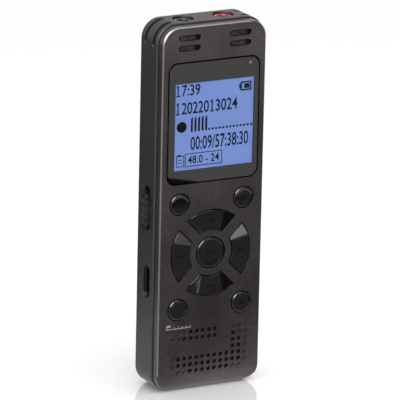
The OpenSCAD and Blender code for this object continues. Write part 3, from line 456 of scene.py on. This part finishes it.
print_ink = grained("print_ink", colour(12, 10, 10), colour(17, 15, 15), fine=4000, rough=0.02,
                    spread=0.04, bump=0.01)
window_low, window_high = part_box("display_window")
led_low, led_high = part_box("light_pipe")
ink_t, print_clear, print_corner = 0.02 * mm, 0.25 * mm, 2.4
spot_r, spot_hole_r = 0.44, 0.45
ink_y = window_low.y - ink_t / 2 - 0.002 * mm
lit_left, lit_right, lit_low, lit_top = -11.5, 12.1, 61.3, 85.05
window_mid = (window_low + window_high) / 2


def box_at(x, y, z, width, depth, height):
    """A box primitive centred at a point, all in metres, left as the active object."""
    bpy.ops.object.select_all(action="DESELECT")
    bpy.ops.mesh.primitive_cube_add(size=1, location=(x, y, z), scale=(width, depth, height))
    bpy.ops.object.transform_apply(location=True, rotation=True, scale=True)
    return bpy.context.object


def cut(piece, cutter):
    """Cuts the cutter out of the piece and removes it."""
    only(piece)
    bpy.ops.object.modifier_add(type="BOOLEAN")
    piece.modifiers[-1].operation = "DIFFERENCE"
    piece.modifiers[-1].object = cutter
    bpy.ops.object.modifier_apply(modifier=piece.modifiers[-1].name)
    bpy.data.objects.remove(cutter)


window_print = box_at(window_mid.x, ink_y, window_mid.z,
                      window_high.x - window_low.x - 2 * print_clear, ink_t,
                      window_high.z - window_low.z - 2 * print_clear)
window_print.name = "window_print"
round_edges(window_print, print_corner, 8, where=lambda p: abs(p.y - ink_y) < ink_t / 4)
cut(window_print, box_at((lit_left + lit_right) / 2 * mm, ink_y, (lit_low + lit_top) / 2 * mm,
                         (lit_right - lit_left) * mm, 4 * ink_t, (lit_top - lit_low) * mm))
led_mid = (led_low + led_high) / 2
bpy.ops.mesh.primitive_cylinder_add(vertices=32, radius=spot_hole_r * mm, depth=4 * ink_t,
                                    location=(led_mid.x, ink_y, led_mid.z), rotation=(math.pi / 2, 0, 0))
cut(window_print, bpy.context.object)
settle(window_print, "casing", "window_plastic", [print_ink])
bpy.ops.mesh.primitive_cylinder_add(vertices=32, radius=spot_r * mm, depth=ink_t,
                                    location=(led_mid.x, ink_y, led_mid.z), rotation=(math.pi / 2, 0, 0))
status_spot = bpy.context.object
status_spot.name = "status_spot"
bpy.ops.object.transform_apply(location=True, rotation=True, scale=True)
round_edges(status_spot, 0.004, 1)
settle(status_spot, "casing", "diffuser", [grained("smoked_ink", colour(96, 94, 94), colour(120, 118, 118),
                                                   fine=3000, rough=0.3)])


def dress(material, *nodes):
    """Gives CAD nodes their material."""
    for node in nodes:
        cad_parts[node].data.materials.clear()
        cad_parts[node].data.materials.append(material)


dress(grained("tape", colour(20, 20, 21), colour(34, 34, 35), fine=3000, rough=0.8, bump=0.3),
      "window_adhesive")


# ---- display ----
# A monochrome liquid crystal cell over a blue backlight. The lit field and its black segments are
# printed layers in the gap between the glass and the window.
lcd_glass = grained("lcd_glass", colour(28, 34, 44), colour(36, 42, 54), rough=0.12, spread=0.05)
dress(lcd_glass, "lcd_glass")
dress(grained("diffuser", colour(214, 220, 230), colour(236, 240, 246), fine=2500, rough=0.4),
      "lcd_backlight")
dress(grained("flex", colour(176, 104, 30), colour(206, 134, 52), fine=900, stretch=(9, 1, 1), rough=0.35,
              spread=0.3, bump=0.4), "lcd_flex")
dress(grained("pipe", colour(205, 205, 203), colour(228, 228, 226), rough=0.2), "light_pipe")
dress(grained("led", colour(232, 226, 190), colour(246, 242, 214), rough=0.3), "status_led")

backlit = bpy.data.materials.new("backlit")
backlit.use_nodes = True
backlit_nodes, backlit_links = backlit.node_tree.nodes, backlit.node_tree.links
backlit_shader = backlit_nodes["Principled BSDF"]
backlit_shader.inputs["Base Color"].default_value = colour(20, 24, 34)
backlit_shader.inputs["Roughness"].default_value = 0.5
backlit_shader.inputs["Emission Strength"].default_value = 1.0
backlit_place = backlit_nodes.new("ShaderNodeTexCoord")
backlit_drift = backlit_nodes.new("ShaderNodeTexNoise")
backlit_drift.inputs["Scale"].default_value = 35
backlit_tone = backlit_nodes.new("ShaderNodeMix")
backlit_tone.data_type = "RGBA"
backlit_tone.inputs["A"].default_value = colour(100, 126, 192)
backlit_tone.inputs["B"].default_value = colour(120, 146, 212)
backlit_links.new(backlit_place.outputs["Object"], backlit_drift.inputs["Vector"])
backlit_links.new(backlit_drift.outputs["Fac"], backlit_tone.inputs["Factor"])
backlit_links.new(backlit_tone.outputs["Result"], backlit_shader.inputs["Emission Color"])
glass_low, glass_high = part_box("lcd_glass")
field_t = 0.03 * mm
field_y = glass_low.y - field_t / 2 - 0.002 * mm
lcd_field = box_at(glass_low.x / 2 + glass_high.x / 2, field_y, (lit_low + lit_top) / 2 * mm,
                   glass_high.x - glass_low.x - 0.2 * mm, field_t, (lit_top - lit_low) * mm + 0.4 * mm)
lcd_field.name = "lcd_field"
round_edges(lcd_field, 0.2, 3, where=lambda p: abs(p.y - field_y) < field_t / 4)
settle(lcd_field, "casing", "lcd", [backlit])

segment_ink = grained("segment_ink", colour(4, 5, 12), colour(9, 10, 20), fine=5000, rough=0.6, bump=0.02,
                      Specular_IOR_Level=0.1)
segment_t = 0.02 * mm
segment_y = glass_low.y - field_t - segment_t / 2 - 0.006 * mm


def display_text(body, left, right, low, top):
    """Figures on the display as a flat mesh that fills the box from left to right and low to top, in mm."""
    bpy.ops.object.select_all(action="DESELECT")
    bpy.ops.object.text_add(rotation=(math.pi / 2, 0, 0))
    figures = bpy.context.object
    figures.data.body = body
    figures.data.resolution_u = 3
    figures.data.extrude = 0.02
    figures.data.offset = 0.012
    bpy.ops.object.convert(target="MESH")
    bpy.ops.object.transform_apply(location=True, rotation=True, scale=True)
    corners = [Vector(c) for c in figures.bound_box]
    low_corner = Vector([min(c[i] for c in corners) for i in range(3)])
    size = Vector([max(c[i] for c in corners) for i in range(3)]) - low_corner
    fit = Matrix.Diagonal(((right - left) * mm / size.x, segment_t / size.y, (top - low) * mm / size.z, 1))
    place = Matrix.Translation((left * mm, segment_y - segment_t / 2, low * mm))
    figures.data.transform(place @ fit @ Matrix.Translation(-low_corner))
    return figures


def flat_bar(left, right, low, top, y=None, depth=None):
    """A thin bar facing the front, in mm, on the display unless another depth is given."""
    return box_at((left + right) / 2 * mm, segment_y if y is None else y, (low + top) / 2 * mm,
                  (right - left) * mm, depth or segment_t, (top - low) * mm)


def flat_disc(x, z, radius, sides=32, y=None, depth=None, turn=0):
    """A thin disc, or with few sides a polygon, facing the front, in mm."""
    bpy.ops.object.select_all(action="DESELECT")
    bpy.ops.mesh.primitive_cylinder_add(
        vertices=sides, radius=radius * mm, depth=depth or segment_t, rotation=(math.pi / 2, turn, 0),
        location=(x * mm, segment_y if y is None else y, z * mm))
    bpy.ops.object.transform_apply(location=True, rotation=True, scale=True)
    return bpy.context.object


def joined(name, parts):
    """The parts as one object of that name."""
    only(*parts)
    bpy.ops.object.join()
    parts[0].name = name
    return parts[0]


def outline(left, right, low, top, line, y=None, depth=None):
    """The four bars of a rectangular outline."""
    return [flat_bar(left, right, low, low + line, y, depth),
            flat_bar(left, right, top - line, top, y, depth),
            flat_bar(left, left + line, low + line, top - line, y, depth),
            flat_bar(right - line, right, low + line, top - line, y, depth)]


clock_row, number_row = (81.4, 84.5), (76.4, 79.7)
lcd_clock = display_text("7:39", -9.1, -3.6, *clock_row)
lcd_number = display_text("20220", -9.05, -0.9, *number_row)
lcd_ending = display_text("3024", 1.15, 7.7, *number_row)
lcd_time = display_text("00:09/57:38:30", -6.2, 11.2, 66.4, 70.1)
lcd_rate = display_text("48.0 - 24", -6.9, 2.5, 62.7, 64.9)


def figure_one(x, low, top):
    """A one with a flag and a foot, whose stem stands at x, in mm."""
    flag = flat_bar(x - 0.55, x - 0.1, top - 0.85, top - 0.5)
    for vertex in flag.data.vertices:
        if vertex.co.x > (x - 0.3) * mm:
            vertex.co.z += 0.4 * mm
    return [flat_bar(x - 0.2, x + 0.18, low, top), flat_bar(x - 0.6, x + 0.6, low, low + 0.33), flag]


ones = figure_one(-10.2, *clock_row) + figure_one(-10.15, *number_row) + figure_one(0.05, *number_row)
settle(joined("lcd_figures", [lcd_clock, lcd_number, lcd_ending, lcd_time, lcd_rate] + ones),
       "casing", "lcd", [segment_ink])

battery_sign = outline(8.5, 11.8, 81.2, 83.7, 0.4) + [
    flat_bar(8.1, 8.5, 81.8, 83.1), flat_bar(9.6, 11.2, 81.8, 83.1)]
settle(joined("lcd_battery_sign", battery_sign), "casing", "lcd", [segment_ink])

level_low = 71.45
level_bars = []
for i in range(5):
    left = -6.2 + 1.07 * i
    bar = flat_bar(left, left + 0.6, level_low, 75.0)
    for vertex in bar.data.vertices:
        if vertex.co.z > 73 * mm and vertex.co.x > (left + 0.3) * mm:
            vertex.co.z += 0.6 * mm
    level_bars.append(bar)
level_bars += [flat_bar(-1.0 + 1.06 * i, -0.4 + 1.06 * i, level_low, 72.0) for i in range(13)]
level_bars.append(flat_disc(-8.95, 73.0, 1.5))
settle(joined("lcd_level_meter", level_bars), "casing", "lcd", [segment_ink])

folder_sign = outline(-10.4, -8.0, 62.1, 65.2, 0.22) + [
    flat_bar(-10.1, -9.1, 65.2, 65.5), flat_bar(-9.8, -8.6, 63.9, 64.1), flat_bar(-9.8, -8.6, 63.1, 63.3)]
folder_sign += outline(-7.8, 3.4, 61.95, 65.6, 0.22)
settle(joined("lcd_folder_and_format", folder_sign), "casing", "lcd", [segment_ink])


# ---- mark on the panel ----
# Pad-printed in pale grey ink under the lower left key: a small flag that stands on a line of ticks.
pale_ink = grained("pale_ink", colour(128, 124, 122), colour(152, 148, 146), fine=9000, rough=0.6, bump=0.02)
mark_y = front_y - 0.004 * mm
mark_bars = [(-13.0, -5.6, 17.6, 17.8), (-12.9, -12.7, 17.8, 18.9), (-12.7, -11.6, 18.3, 18.9)]
mark_bars += [(-10.6 + 1.2 * i, -10.4 + 1.2 * i, 17.8, 18.3) for i in range(5)]
panel_mark = joined("panel_mark", [flat_bar(*bar, y=mark_y, depth=ink_t) for bar in mark_bars])
settle(panel_mark, "casing", "panel_metal", [pale_ink])


# ---- keys ----
# Nine caps of dark glossy ABS with a rounded edge. A flange behind the panel holds each one, and a post
# presses its snap dome on the board. Their signs are moulded a hair proud in black.
key_plastic = grained("key_plastic", colour(10, 10, 12), colour(17, 17, 20), fine=8000, broad=80, rough=0.06,
                      spread=0.03, bump=0.01, worn=colour(50, 49, 52), wear=0.4)
sign_black = grained("sign_black", colour(3, 3, 3), colour(7, 7, 7), fine=8000, rough=0.5, bump=0.05,
                      Specular_IOR_Level=0.15)
flange_front, flange_back, post_r, edge_r = 0.9, 1.35, 1.0, 0.55


def lathe(name, profile, x, z):
    """Spins a profile of (radius, depth) points, in mm, about an axis along the depth through x and z."""
    axis = Vector((x, front_y, z))
    bpy.ops.object.select_all(action="DESELECT")
    bpy.ops.mesh.primitive_plane_add(size=mm, location=axis)
    turned = bpy.context.object
    turned.name = name
    bpy.context.tool_settings.mesh_select_mode = (True, False, False)
    bpy.ops.object.mode_set(mode="EDIT")
    bpy.ops.mesh.merge(type="CENTER")
    here = Vector((0, 0))
    for i, point in enumerate(profile):
        step = (Vector(point) - here) * mm
        here = Vector(point)
        if i == 0:
            bpy.ops.transform.translate(value=(step.x, step.y, 0))
        else:
            bpy.ops.mesh.extrude_region_move(TRANSFORM_OT_translate={"value": (step.x, step.y, 0)})
    bpy.ops.mesh.select_all(action="SELECT")
    bpy.ops.mesh.spin(steps=64, angle=2 * math.pi, center=axis, axis=(0, 1, 0))
    bpy.ops.mesh.select_all(action="SELECT")
    bpy.ops.mesh.remove_doubles(threshold=0.001 * mm)
    bpy.ops.mesh.normals_make_consistent(inside=False)
    bpy.ops.object.mode_set(mode="OBJECT")
    bpy.ops.object.transform_apply(location=True, rotation=True, scale=True)
    return turned


def cap_profile(face, radius, flange_r, back):
    """A key's profile: the face's own points, then the rounded edge, the flange and the post."""
    lip = face[-1][1]
    edge = [(radius - edge_r + edge_r * math.sin(a), lip + edge_r - edge_r * math.cos(a))
            for a in [math.radians(15 * i) for i in range(1, 7)]]
    return face + edge + [(radius, flange_front), (flange_r, flange_front), (flange_r, flange_back),
                          (post_r, flange_back), (post_r, back), (0, back)]


menu_low, menu_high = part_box("key_menu")
menu_mid = (menu_low + menu_high) / 2
cap_r, cap_top, cap_crown = 2.88, -0.385, 0.004
flat_r = cap_r - edge_r
crown = [(flat_r * i / 5, cap_top + cap_crown * (i / 5) ** 2) for i in range(6)]
first_cap = lathe("cap_menu", cap_profile(crown, cap_r, (menu_high.x - menu_low.x) / 2 / mm,
                                          (menu_high.y - front_y) / mm), menu_mid.x, menu_mid.z)
round_caps = [("menu", first_cap)]
for word in ("record", "mark", "stop"):
    only(first_cap)
    bpy.ops.object.duplicate()
    cap = bpy.context.object
    cap.name = "cap_" + word
    low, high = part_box("key_" + word)
    bpy.ops.transform.translate(value=(low + high) / 2 - menu_mid)
    bpy.ops.object.transform_apply(location=True, rotation=True, scale=True)
    round_caps.append((word, cap))

play_low, play_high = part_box("key_play")
play_mid = (play_low + play_high) / 2
play_r, play_top, dish_r, dish_d = 4.23, -0.2, 3.43, 0.12
dish = [(dish_r * i / 8, play_top + dish_d * (1 - (i / 8) ** 2)) for i in range(9)]
play_cap = lathe("cap_play", cap_profile(dish + [(play_r - edge_r, play_top)], play_r,
                                         (play_high.x - play_low.x) / 2 / mm, (play_high.y - front_y) / mm),
                 play_mid.x, play_mid.z)
for word, cap in round_caps + [("play", play_cap)]:
    smooth(cap)
    settle(cap, "key_" + word, "key_plastic", [key_plastic], "key_" + word)

for word in ("volume_up", "next", "volume_down", "previous"):
    cap = merged_copy("key_" + word, "cap_" + word)
    round_edges(cap, 0.5, 4, low=3, high=20, where=lambda p: p.y < front_y)
    round_edges(cap, 0.12, 3, low=40)
    smooth(cap, 5)
    settle(cap, "key_" + word, "key_plastic", [key_plastic], "key_" + word)

ring_x, ring_z, sign_out = play_mid.x / mm, play_mid.z / mm, 9.2
relief = 0.12 * mm
ring_sign_top, play_sign_top, round_sign_top = -0.29, -0.11, -0.399


def sign(word, top, parts):
    """Joins a key's sign, whose face is top mm in front of the panel, and rounds its edges."""
    mark = joined("sign_" + word, parts)
    for vertex in mark.data.vertices:
        vertex.co.y += front_y + top * mm + relief / 2
    round_edges(mark, 0.02, 2)
    settle(mark, "key_" + word, "key_plastic", [sign_black])


def raised(left, right, low, top):
    """One bar of a sign, in mm."""
    return flat_bar(left, right, low, top, y=0, depth=relief)


def arrow(x, z, turn):
    """One triangle of a sign, pointing up and then turned."""
    return flat_disc(x, z, 0.75, sides=3, y=0, depth=relief, turn=turn)


right, left = math.pi / 2, -math.pi / 2
up_z, down_z = ring_z + sign_out, ring_z - sign_out
sign("volume_up", ring_sign_top, [raised(-1.1, -0.2, up_z - 0.2, up_z + 0.2),
                                  raised(0.2, 1.1, up_z - 0.2, up_z + 0.2),
                                  raised(-0.2, 0.2, up_z - 1.1, up_z + 1.1)])
sign("volume_down", ring_sign_top, [raised(-1.1, 1.1, down_z - 0.2, down_z + 0.2)])
sign("next", ring_sign_top, [arrow(ring_x + sign_out - 0.75, ring_z, right),
                             arrow(ring_x + sign_out + 0.45, ring_z, right)])
sign("previous", ring_sign_top, [arrow(ring_x - sign_out - 0.45, ring_z, left),
                                 arrow(ring_x - sign_out + 0.75, ring_z, left)])
sign("play", play_sign_top, [arrow(-0.9, ring_z, right), raised(0.35, 0.75, ring_z - 0.75, ring_z + 0.75),
                             raised(1.25, 1.65, ring_z - 0.75, ring_z + 0.75)])
menu_x, menu_z = menu_mid.x / mm, menu_mid.z / mm
sign("menu", round_sign_top, [
    raised(menu_x - 1.0, menu_x + 1.0, menu_z + i * 0.7 - 0.15, menu_z + i * 0.7 + 0.15)
    for i in (-1, 0, 1)])
record_mid = sum(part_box("key_record"), Vector()) / 2 / mm
sign("record", round_sign_top, [flat_disc(record_mid.x, record_mid.z, 0.8, y=0, depth=relief)])
stop_mid = sum(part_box("key_stop"), Vector()) / 2 / mm
sign("stop", round_sign_top, [raised(stop_mid.x - 0.7, stop_mid.x + 0.7,
                                     stop_mid.z - 0.7, stop_mid.z + 0.7)])


# ---- microphones ----
# An electret capsule in a rubber boot sits behind each pair of slots, under a woven steel screen that
# stops short of their right ends. The screen's steel is darkened as painted shade in the slots, and the
# capsules' black felt fronts also stand as painted shade behind it. Black etched mesh lines the slots that
# wrap the top corners.
# Painted shade: the screen's steel is much darker than bare steel, for the shade in the slots.
screen_steel_with_painted_shade = grained("screen_steel_with_painted_shade", colour(74, 74, 76), colour(104, 104, 106), fine=12000, rough=0.25,
                       spread=0.2, Metallic=1.0)


def woven_screen(name, middle, across, down, pitch, wire_r):
    """Plain-woven wires that fill across by down wires round a middle point; pitch and wire_r are in mm."""
    wave = 0.95 * wire_r * mm
    wires = []
    for run, rise, count, phase in ((Vector((1, 0, 0)), Vector((0, 0, 1)), across, 1),
                                    (Vector((0, 0, 1)), Vector((1, 0, 0)), down, -1)):
        for shift in (0, 1):
            start = middle - run * (count / 2) * pitch * mm
            turn = (0, math.pi / 2, 0) if run.x else (0, 0, 0)
            bpy.ops.object.select_all(action="DESELECT")
            bpy.ops.mesh.primitive_circle_add(vertices=5, radius=wire_r * mm, rotation=turn,
                                              location=start + Vector((0, phase * (-1) ** shift * wave, 0)))
            bpy.ops.object.mode_set(mode="EDIT")
            bpy.ops.mesh.select_all(action="SELECT")
            for step in range(1, 9):
                bow = math.cos(math.pi * step / 4) - math.cos(math.pi * (step - 1) / 4)
                move = run * pitch * mm / 4 + Vector((0, phase * (-1) ** shift * wave * bow, 0))
                bpy.ops.mesh.extrude_region_move(TRANSFORM_OT_translate={"value": move})
            bpy.ops.object.mode_set(mode="OBJECT")
            bpy.ops.object.transform_apply(location=True, rotation=True, scale=True)
            wire = bpy.context.object
            other = down if run.x else across
            offset = rise * (shift - other / 2) * pitch * mm
            for vertex in wire.data.vertices:
                vertex.co += offset
            for way, times in ((run, count // 2), (rise, other // 2)):
                bpy.ops.object.modifier_add(type="ARRAY")
                rows = wire.modifiers[-1]
                rows.use_relative_offset = False
                rows.use_constant_offset = True
                rows.constant_offset_displace = way * 2 * pitch * mm
                rows.count = times
                rows.use_merge_vertices = way is run
                rows.merge_threshold = 0.001 * mm
                bpy.ops.object.modifier_apply(modifier=rows.name)
            wires.append(wire)
    screen = joined(name, wires)
    only(screen)
    bpy.ops.object.mode_set(mode="EDIT")
    bpy.ops.mesh.select_all(action="SELECT")
    bpy.ops.mesh.fill_holes(sides=5)
    bpy.ops.mesh.normals_make_consistent(inside=False)
    bpy.ops.object.mode_set(mode="OBJECT")
    bpy.ops.object.shade_smooth_by_angle(angle=math.radians(80))
    return screen


wires_across, wires_down, wire_pitch, wire_radius = 20, 16, 0.3, 0.045
screen_shift = Vector((0.95 * mm, 0, 0))
for side in ("left", "right"):
    low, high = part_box("mic_mesh_" + side)
    screen = woven_screen("mic_screen_" + side, (low + high) / 2 - screen_shift, wires_across, wires_down,
                          wire_pitch, wire_radius)
    settle(screen, "casing", "mesh_steel", [screen_steel_with_painted_shade], "mic_mesh_" + side)

# The weave group: two crossing sets of threads, for cloth and for etched mesh.
weave_group, weave_in, weave_out = new_group(
    "weave",
    {"Gap": (0.0, 0.0, 0.0, 1), "Thread": (0.1, 0.1, 0.1, 1), "Scale": 2000.0},
    {"Colour": "NodeSocketColor", "Height": "NodeSocketFloat"})
weave_place = weave_group.nodes.new("ShaderNodeTexCoord")
weave_across = weave_group.nodes.new("ShaderNodeTexWave")
weave_across.bands_direction = "X"
weave_down = weave_group.nodes.new("ShaderNodeTexWave")
weave_down.bands_direction = "Z"
weave_top = weave_group.nodes.new("ShaderNodeMath")
weave_top.operation = "MAXIMUM"
weave_tone = weave_group.nodes.new("ShaderNodeMix")
weave_tone.data_type = "RGBA"
for source, target in (
        (weave_place.outputs["Object"], weave_across.inputs["Vector"]),
        (weave_place.outputs["Object"], weave_down.inputs["Vector"]),
        (weave_in.outputs["Scale"], weave_across.inputs["Scale"]),
        (weave_in.outputs["Scale"], weave_down.inputs["Scale"]),
        (weave_across.outputs["Fac"], weave_top.inputs[0]),
        (weave_down.outputs["Fac"], weave_top.inputs[1]),
        (weave_top.outputs[0], weave_tone.inputs["Factor"]),
        (weave_in.outputs["Gap"], weave_tone.inputs["A"]),
        (weave_in.outputs["Thread"], weave_tone.inputs["B"]),
        (weave_tone.outputs["Result"], weave_out.inputs["Colour"]),
        (weave_top.outputs[0], weave_out.inputs["Height"])):
    weave_group.links.new(source, target)


def woven(name, gap, thread, scale, rough, metallic=0.0):
    """A cloth or mesh finish from the weave group."""
    material = bpy.data.materials.new(name)
    material.use_nodes = True
    nodes, links = material.node_tree.nodes, material.node_tree.links
    shader = nodes["Principled BSDF"]
    shader.inputs["Roughness"].default_value = rough
    shader.inputs["Metallic"].default_value = metallic
    weave = nodes.new("ShaderNodeGroup")
    weave.node_tree = weave_group
    weave.inputs["Gap"].default_value = gap
    weave.inputs["Thread"].default_value = thread
    weave.inputs["Scale"].default_value = scale
    relief = nodes.new("ShaderNodeBump")
    relief.inputs["Distance"].default_value = 0.05 * mm
    links.new(weave.outputs["Colour"], shader.inputs["Base Color"])
    links.new(weave.outputs["Height"], relief.inputs["Height"])
    links.new(relief.outputs["Normal"], shader.inputs["Normal"])
    return material


dress(woven("etched_mesh", colour(4, 4, 4), colour(38, 38, 40), 700, 0.5, 0.6),
      "corner_mesh_left", "corner_mesh_right")
dress(grained("boot_rubber", colour(30, 30, 31), colour(40, 40, 41), fine=3000, rough=0.8, bump=0.4),
      "mic_boot_left", "mic_boot_right")
# Black felt covers the capsule fronts; it is kept this dark also as painted shade behind the screens.
dress(grained("capsule_felt_and_painted_shade", colour(12, 12, 13), colour(26, 26, 27), fine=2600, rough=0.95, bump=0.8),
      "mic_left", "mic_right")


# ---- loudspeaker ----
# A flat 20 mm class driver faces the grille through a dark cloth, and a foam ring seals it to the panel.
# Its basket is moulded, the cone is coated paper, and the magnet cup is plated steel.
dress(woven("speaker_cloth", colour(5, 5, 5), colour(26, 25, 26), 900, 0.95), "speaker_cloth")
dress(grained("foam_black", colour(16, 16, 17), colour(34, 34, 35), fine=2600, rough=0.95, bump=0.9),
      "speaker_gasket")
dress(grained("basket_plastic", colour(30, 30, 31), colour(42, 42, 43), fine=4200, rough=0.5, bump=0.3),
      "speaker_basket")
dress(grained("cone_paper", colour(44, 42, 40), colour(64, 61, 58), fine=1800, rough=0.85, bump=0.7),
      "speaker_cone")
dress(grained("plated_steel", colour(168, 169, 172), colour(200, 201, 204), fine=7000, stretch=(1, 12, 1),
              rough=0.28, spread=0.2, Metallic=1.0),
      "speaker_magnet", "clock_crystal", "board_screws")
dress(grained("lead_red", colour(120, 18, 20), colour(150, 30, 32), fine=2500, rough=0.4),
      "speaker_leads", "battery_leads")


# ---- sockets ----
# Two 3.5 mm sockets stand in the top of the frame, the black one for headphones and the red one for line
# input. The collars are moulded, and gold-plated springs inside touch the plug.
socket_black = grained("socket_black", colour(22, 22, 24), colour(34, 34, 36), fine=6000, rough=0.3,
                       bump=0.1, worn=colour(80, 80, 82), wear=0.5)
socket_red = grained("socket_red", colour(156, 14, 24), colour(186, 26, 36), fine=6000, rough=0.3,
                     bump=0.1, worn=colour(196, 70, 78), wear=0.5)
for word, slot, plastic in (("headphone", "socket_black", socket_black), ("input", "socket_red", socket_red)):
    housing = merged_copy(word + "_socket", word + "_jack")
    collar_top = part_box(word + "_socket")[1].z
    round_edges(housing, 0.18, 4, low=50, where=lambda p: p.z > collar_top - 0.01 * mm)
    smooth(housing)
    settle(housing, "casing", slot, [plastic], word + "_socket")
contact_gold = grained("contact_gold", colour(196, 152, 74), colour(224, 184, 106), fine=5000, rough=0.25,
                       spread=0.2, Metallic=1.0)
dress(contact_gold, "headphone_contacts", "input_contacts")


# ---- USB socket ----
# A drawn steel shell with a rounded mouth, soldered to the board; its steel is darkened as painted shade
# for its shaded mouth. The black tongue inside carries twelve gold-plated strips on each face.
# Painted shade: the shell's steel is kept dark for the shaded mouth of the socket.
usb_steel = grained("usb_steel", colour(60, 60, 62), colour(90, 90, 93), fine=6000, stretch=(8, 1, 1),
                    rough=0.32, spread=0.2, Metallic=1.0)
usb_drawn = merged_copy("usb_shell", "usb_drawn")
round_edges(usb_drawn, 0.07, 3, low=60)
smooth(usb_drawn)
settle(usb_drawn, "casing", "usb_steel", [usb_steel], "usb_shell")
dress(grained("tongue_plastic", colour(18, 18, 19), colour(28, 28, 29), fine=6000, rough=0.4), "usb_tongue")
tongue_low, tongue_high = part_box("usb_tongue")
tongue_mid = (tongue_low + tongue_high) / 2
strips_a_side, strip_pitch, strip_t = 12, 0.5 * mm, 0.04 * mm
first_strip = box_at(tongue_low.x + 2.2 * mm, tongue_low.y - strip_t / 2,
                     tongue_mid.z - (strips_a_side - 1) / 2 * strip_pitch, 3.6 * mm, strip_t, 0.26 * mm)
round_edges(first_strip, 0.01, 1)
strips = [first_strip]
for i in range(1, 2 * strips_a_side):
    only(first_strip)
    bpy.ops.object.duplicate()
    across = tongue_high.y - tongue_low.y + strip_t if i >= strips_a_side else 0
    bpy.ops.transform.translate(value=(0, across, (i % strips_a_side) * strip_pitch))
    bpy.ops.object.transform_apply(location=True, rotation=True, scale=True)
    strips.append(bpy.context.object)
settle(joined("usb_strips", strips), "casing", "contact_gold", [contact_gold])


# ---- slide switch ----
# A ribbed ABS knob for power and hold, clipped on the lever of a small slide switch that is soldered to
# the edge of the board.
knob_plastic = grained("knob_plastic", colour(8, 8, 9), colour(15, 15, 16), fine=5200, rough=0.4,
                       spread=0.2, bump=0.3, worn=colour(60, 59, 62), wear=0.7, Specular_IOR_Level=0.3)
knob_cap = merged_copy("switch_knob", "knob_cap")
round_edges(knob_cap, 0.12, 3, low=30)
smooth(knob_cap)
settle(knob_cap, "slide_switch", "knob_plastic", [knob_plastic], "switch_knob")
dress(grained("switch_plastic", colour(20, 20, 21), colour(30, 30, 31), fine=6000, rough=0.45, bump=0.2),
      "switch_lever")
dress(grained("switch_can", colour(160, 161, 164), colour(190, 191, 194), fine=6000, stretch=(1, 1, 8),
              rough=0.3, spread=0.2, Metallic=1.0), "switch_body")


# ---- board and what it carries ----
# A four-layer glass epoxy board under dark green lacquer, with moulded chips, ceramic capacitors and the
# snap domes under a clear film. Four screws hold it to the support frame.
dress(grained("board_lacquer", colour(10, 52, 34), colour(24, 84, 58), fine=1500, broad=220, rough=0.3,
              stretch=(1, 1, 0.25), bump=0.4, Coat_Weight=0.3), "main_board")
dress(grained("chip_epoxy", colour(26, 26, 28), colour(40, 40, 42), fine=5000, rough=0.55, bump=0.3),
      "processor", "flash_memory", "audio_codec")
dress(grained("ceramic_tan", colour(150, 116, 82), colour(184, 150, 112), fine=4000, rough=0.5, bump=0.2),
      "board_capacitors")
dress(grained("spring_steel", colour(176, 176, 178), colour(206, 206, 208), fine=5000, rough=0.25,
              spread=0.2, Metallic=1.0), "key_domes")
dress(grained("film", colour(196, 178, 120), colour(216, 200, 146), fine=3000, rough=0.3, bump=0.1),
      "dome_film")
dress(grained("support_plastic", colour(34, 34, 36), colour(48, 48, 50), fine=5200, rough=0.5, bump=0.3),
      "support_frame")


# ---- battery ----
# A lithium polymer pouch in silver foil, on a foam pad behind the board. Two leads run to a white plug.
dress(grained("pouch_foil", colour(168, 170, 172), colour(200, 202, 204), fine=700, broad=90, rough=0.35,
              spread=0.25, bump=0.7, Metallic=0.9), "battery")
dress(grained("foam_white", colour(198, 196, 188), colour(228, 226, 220), fine=2600, rough=0.95, bump=0.9),
      "battery_pad")
dress(grained("white_plastic", colour(214, 212, 204), colour(232, 230, 222), fine=5000, rough=0.4),
      "battery_connector")
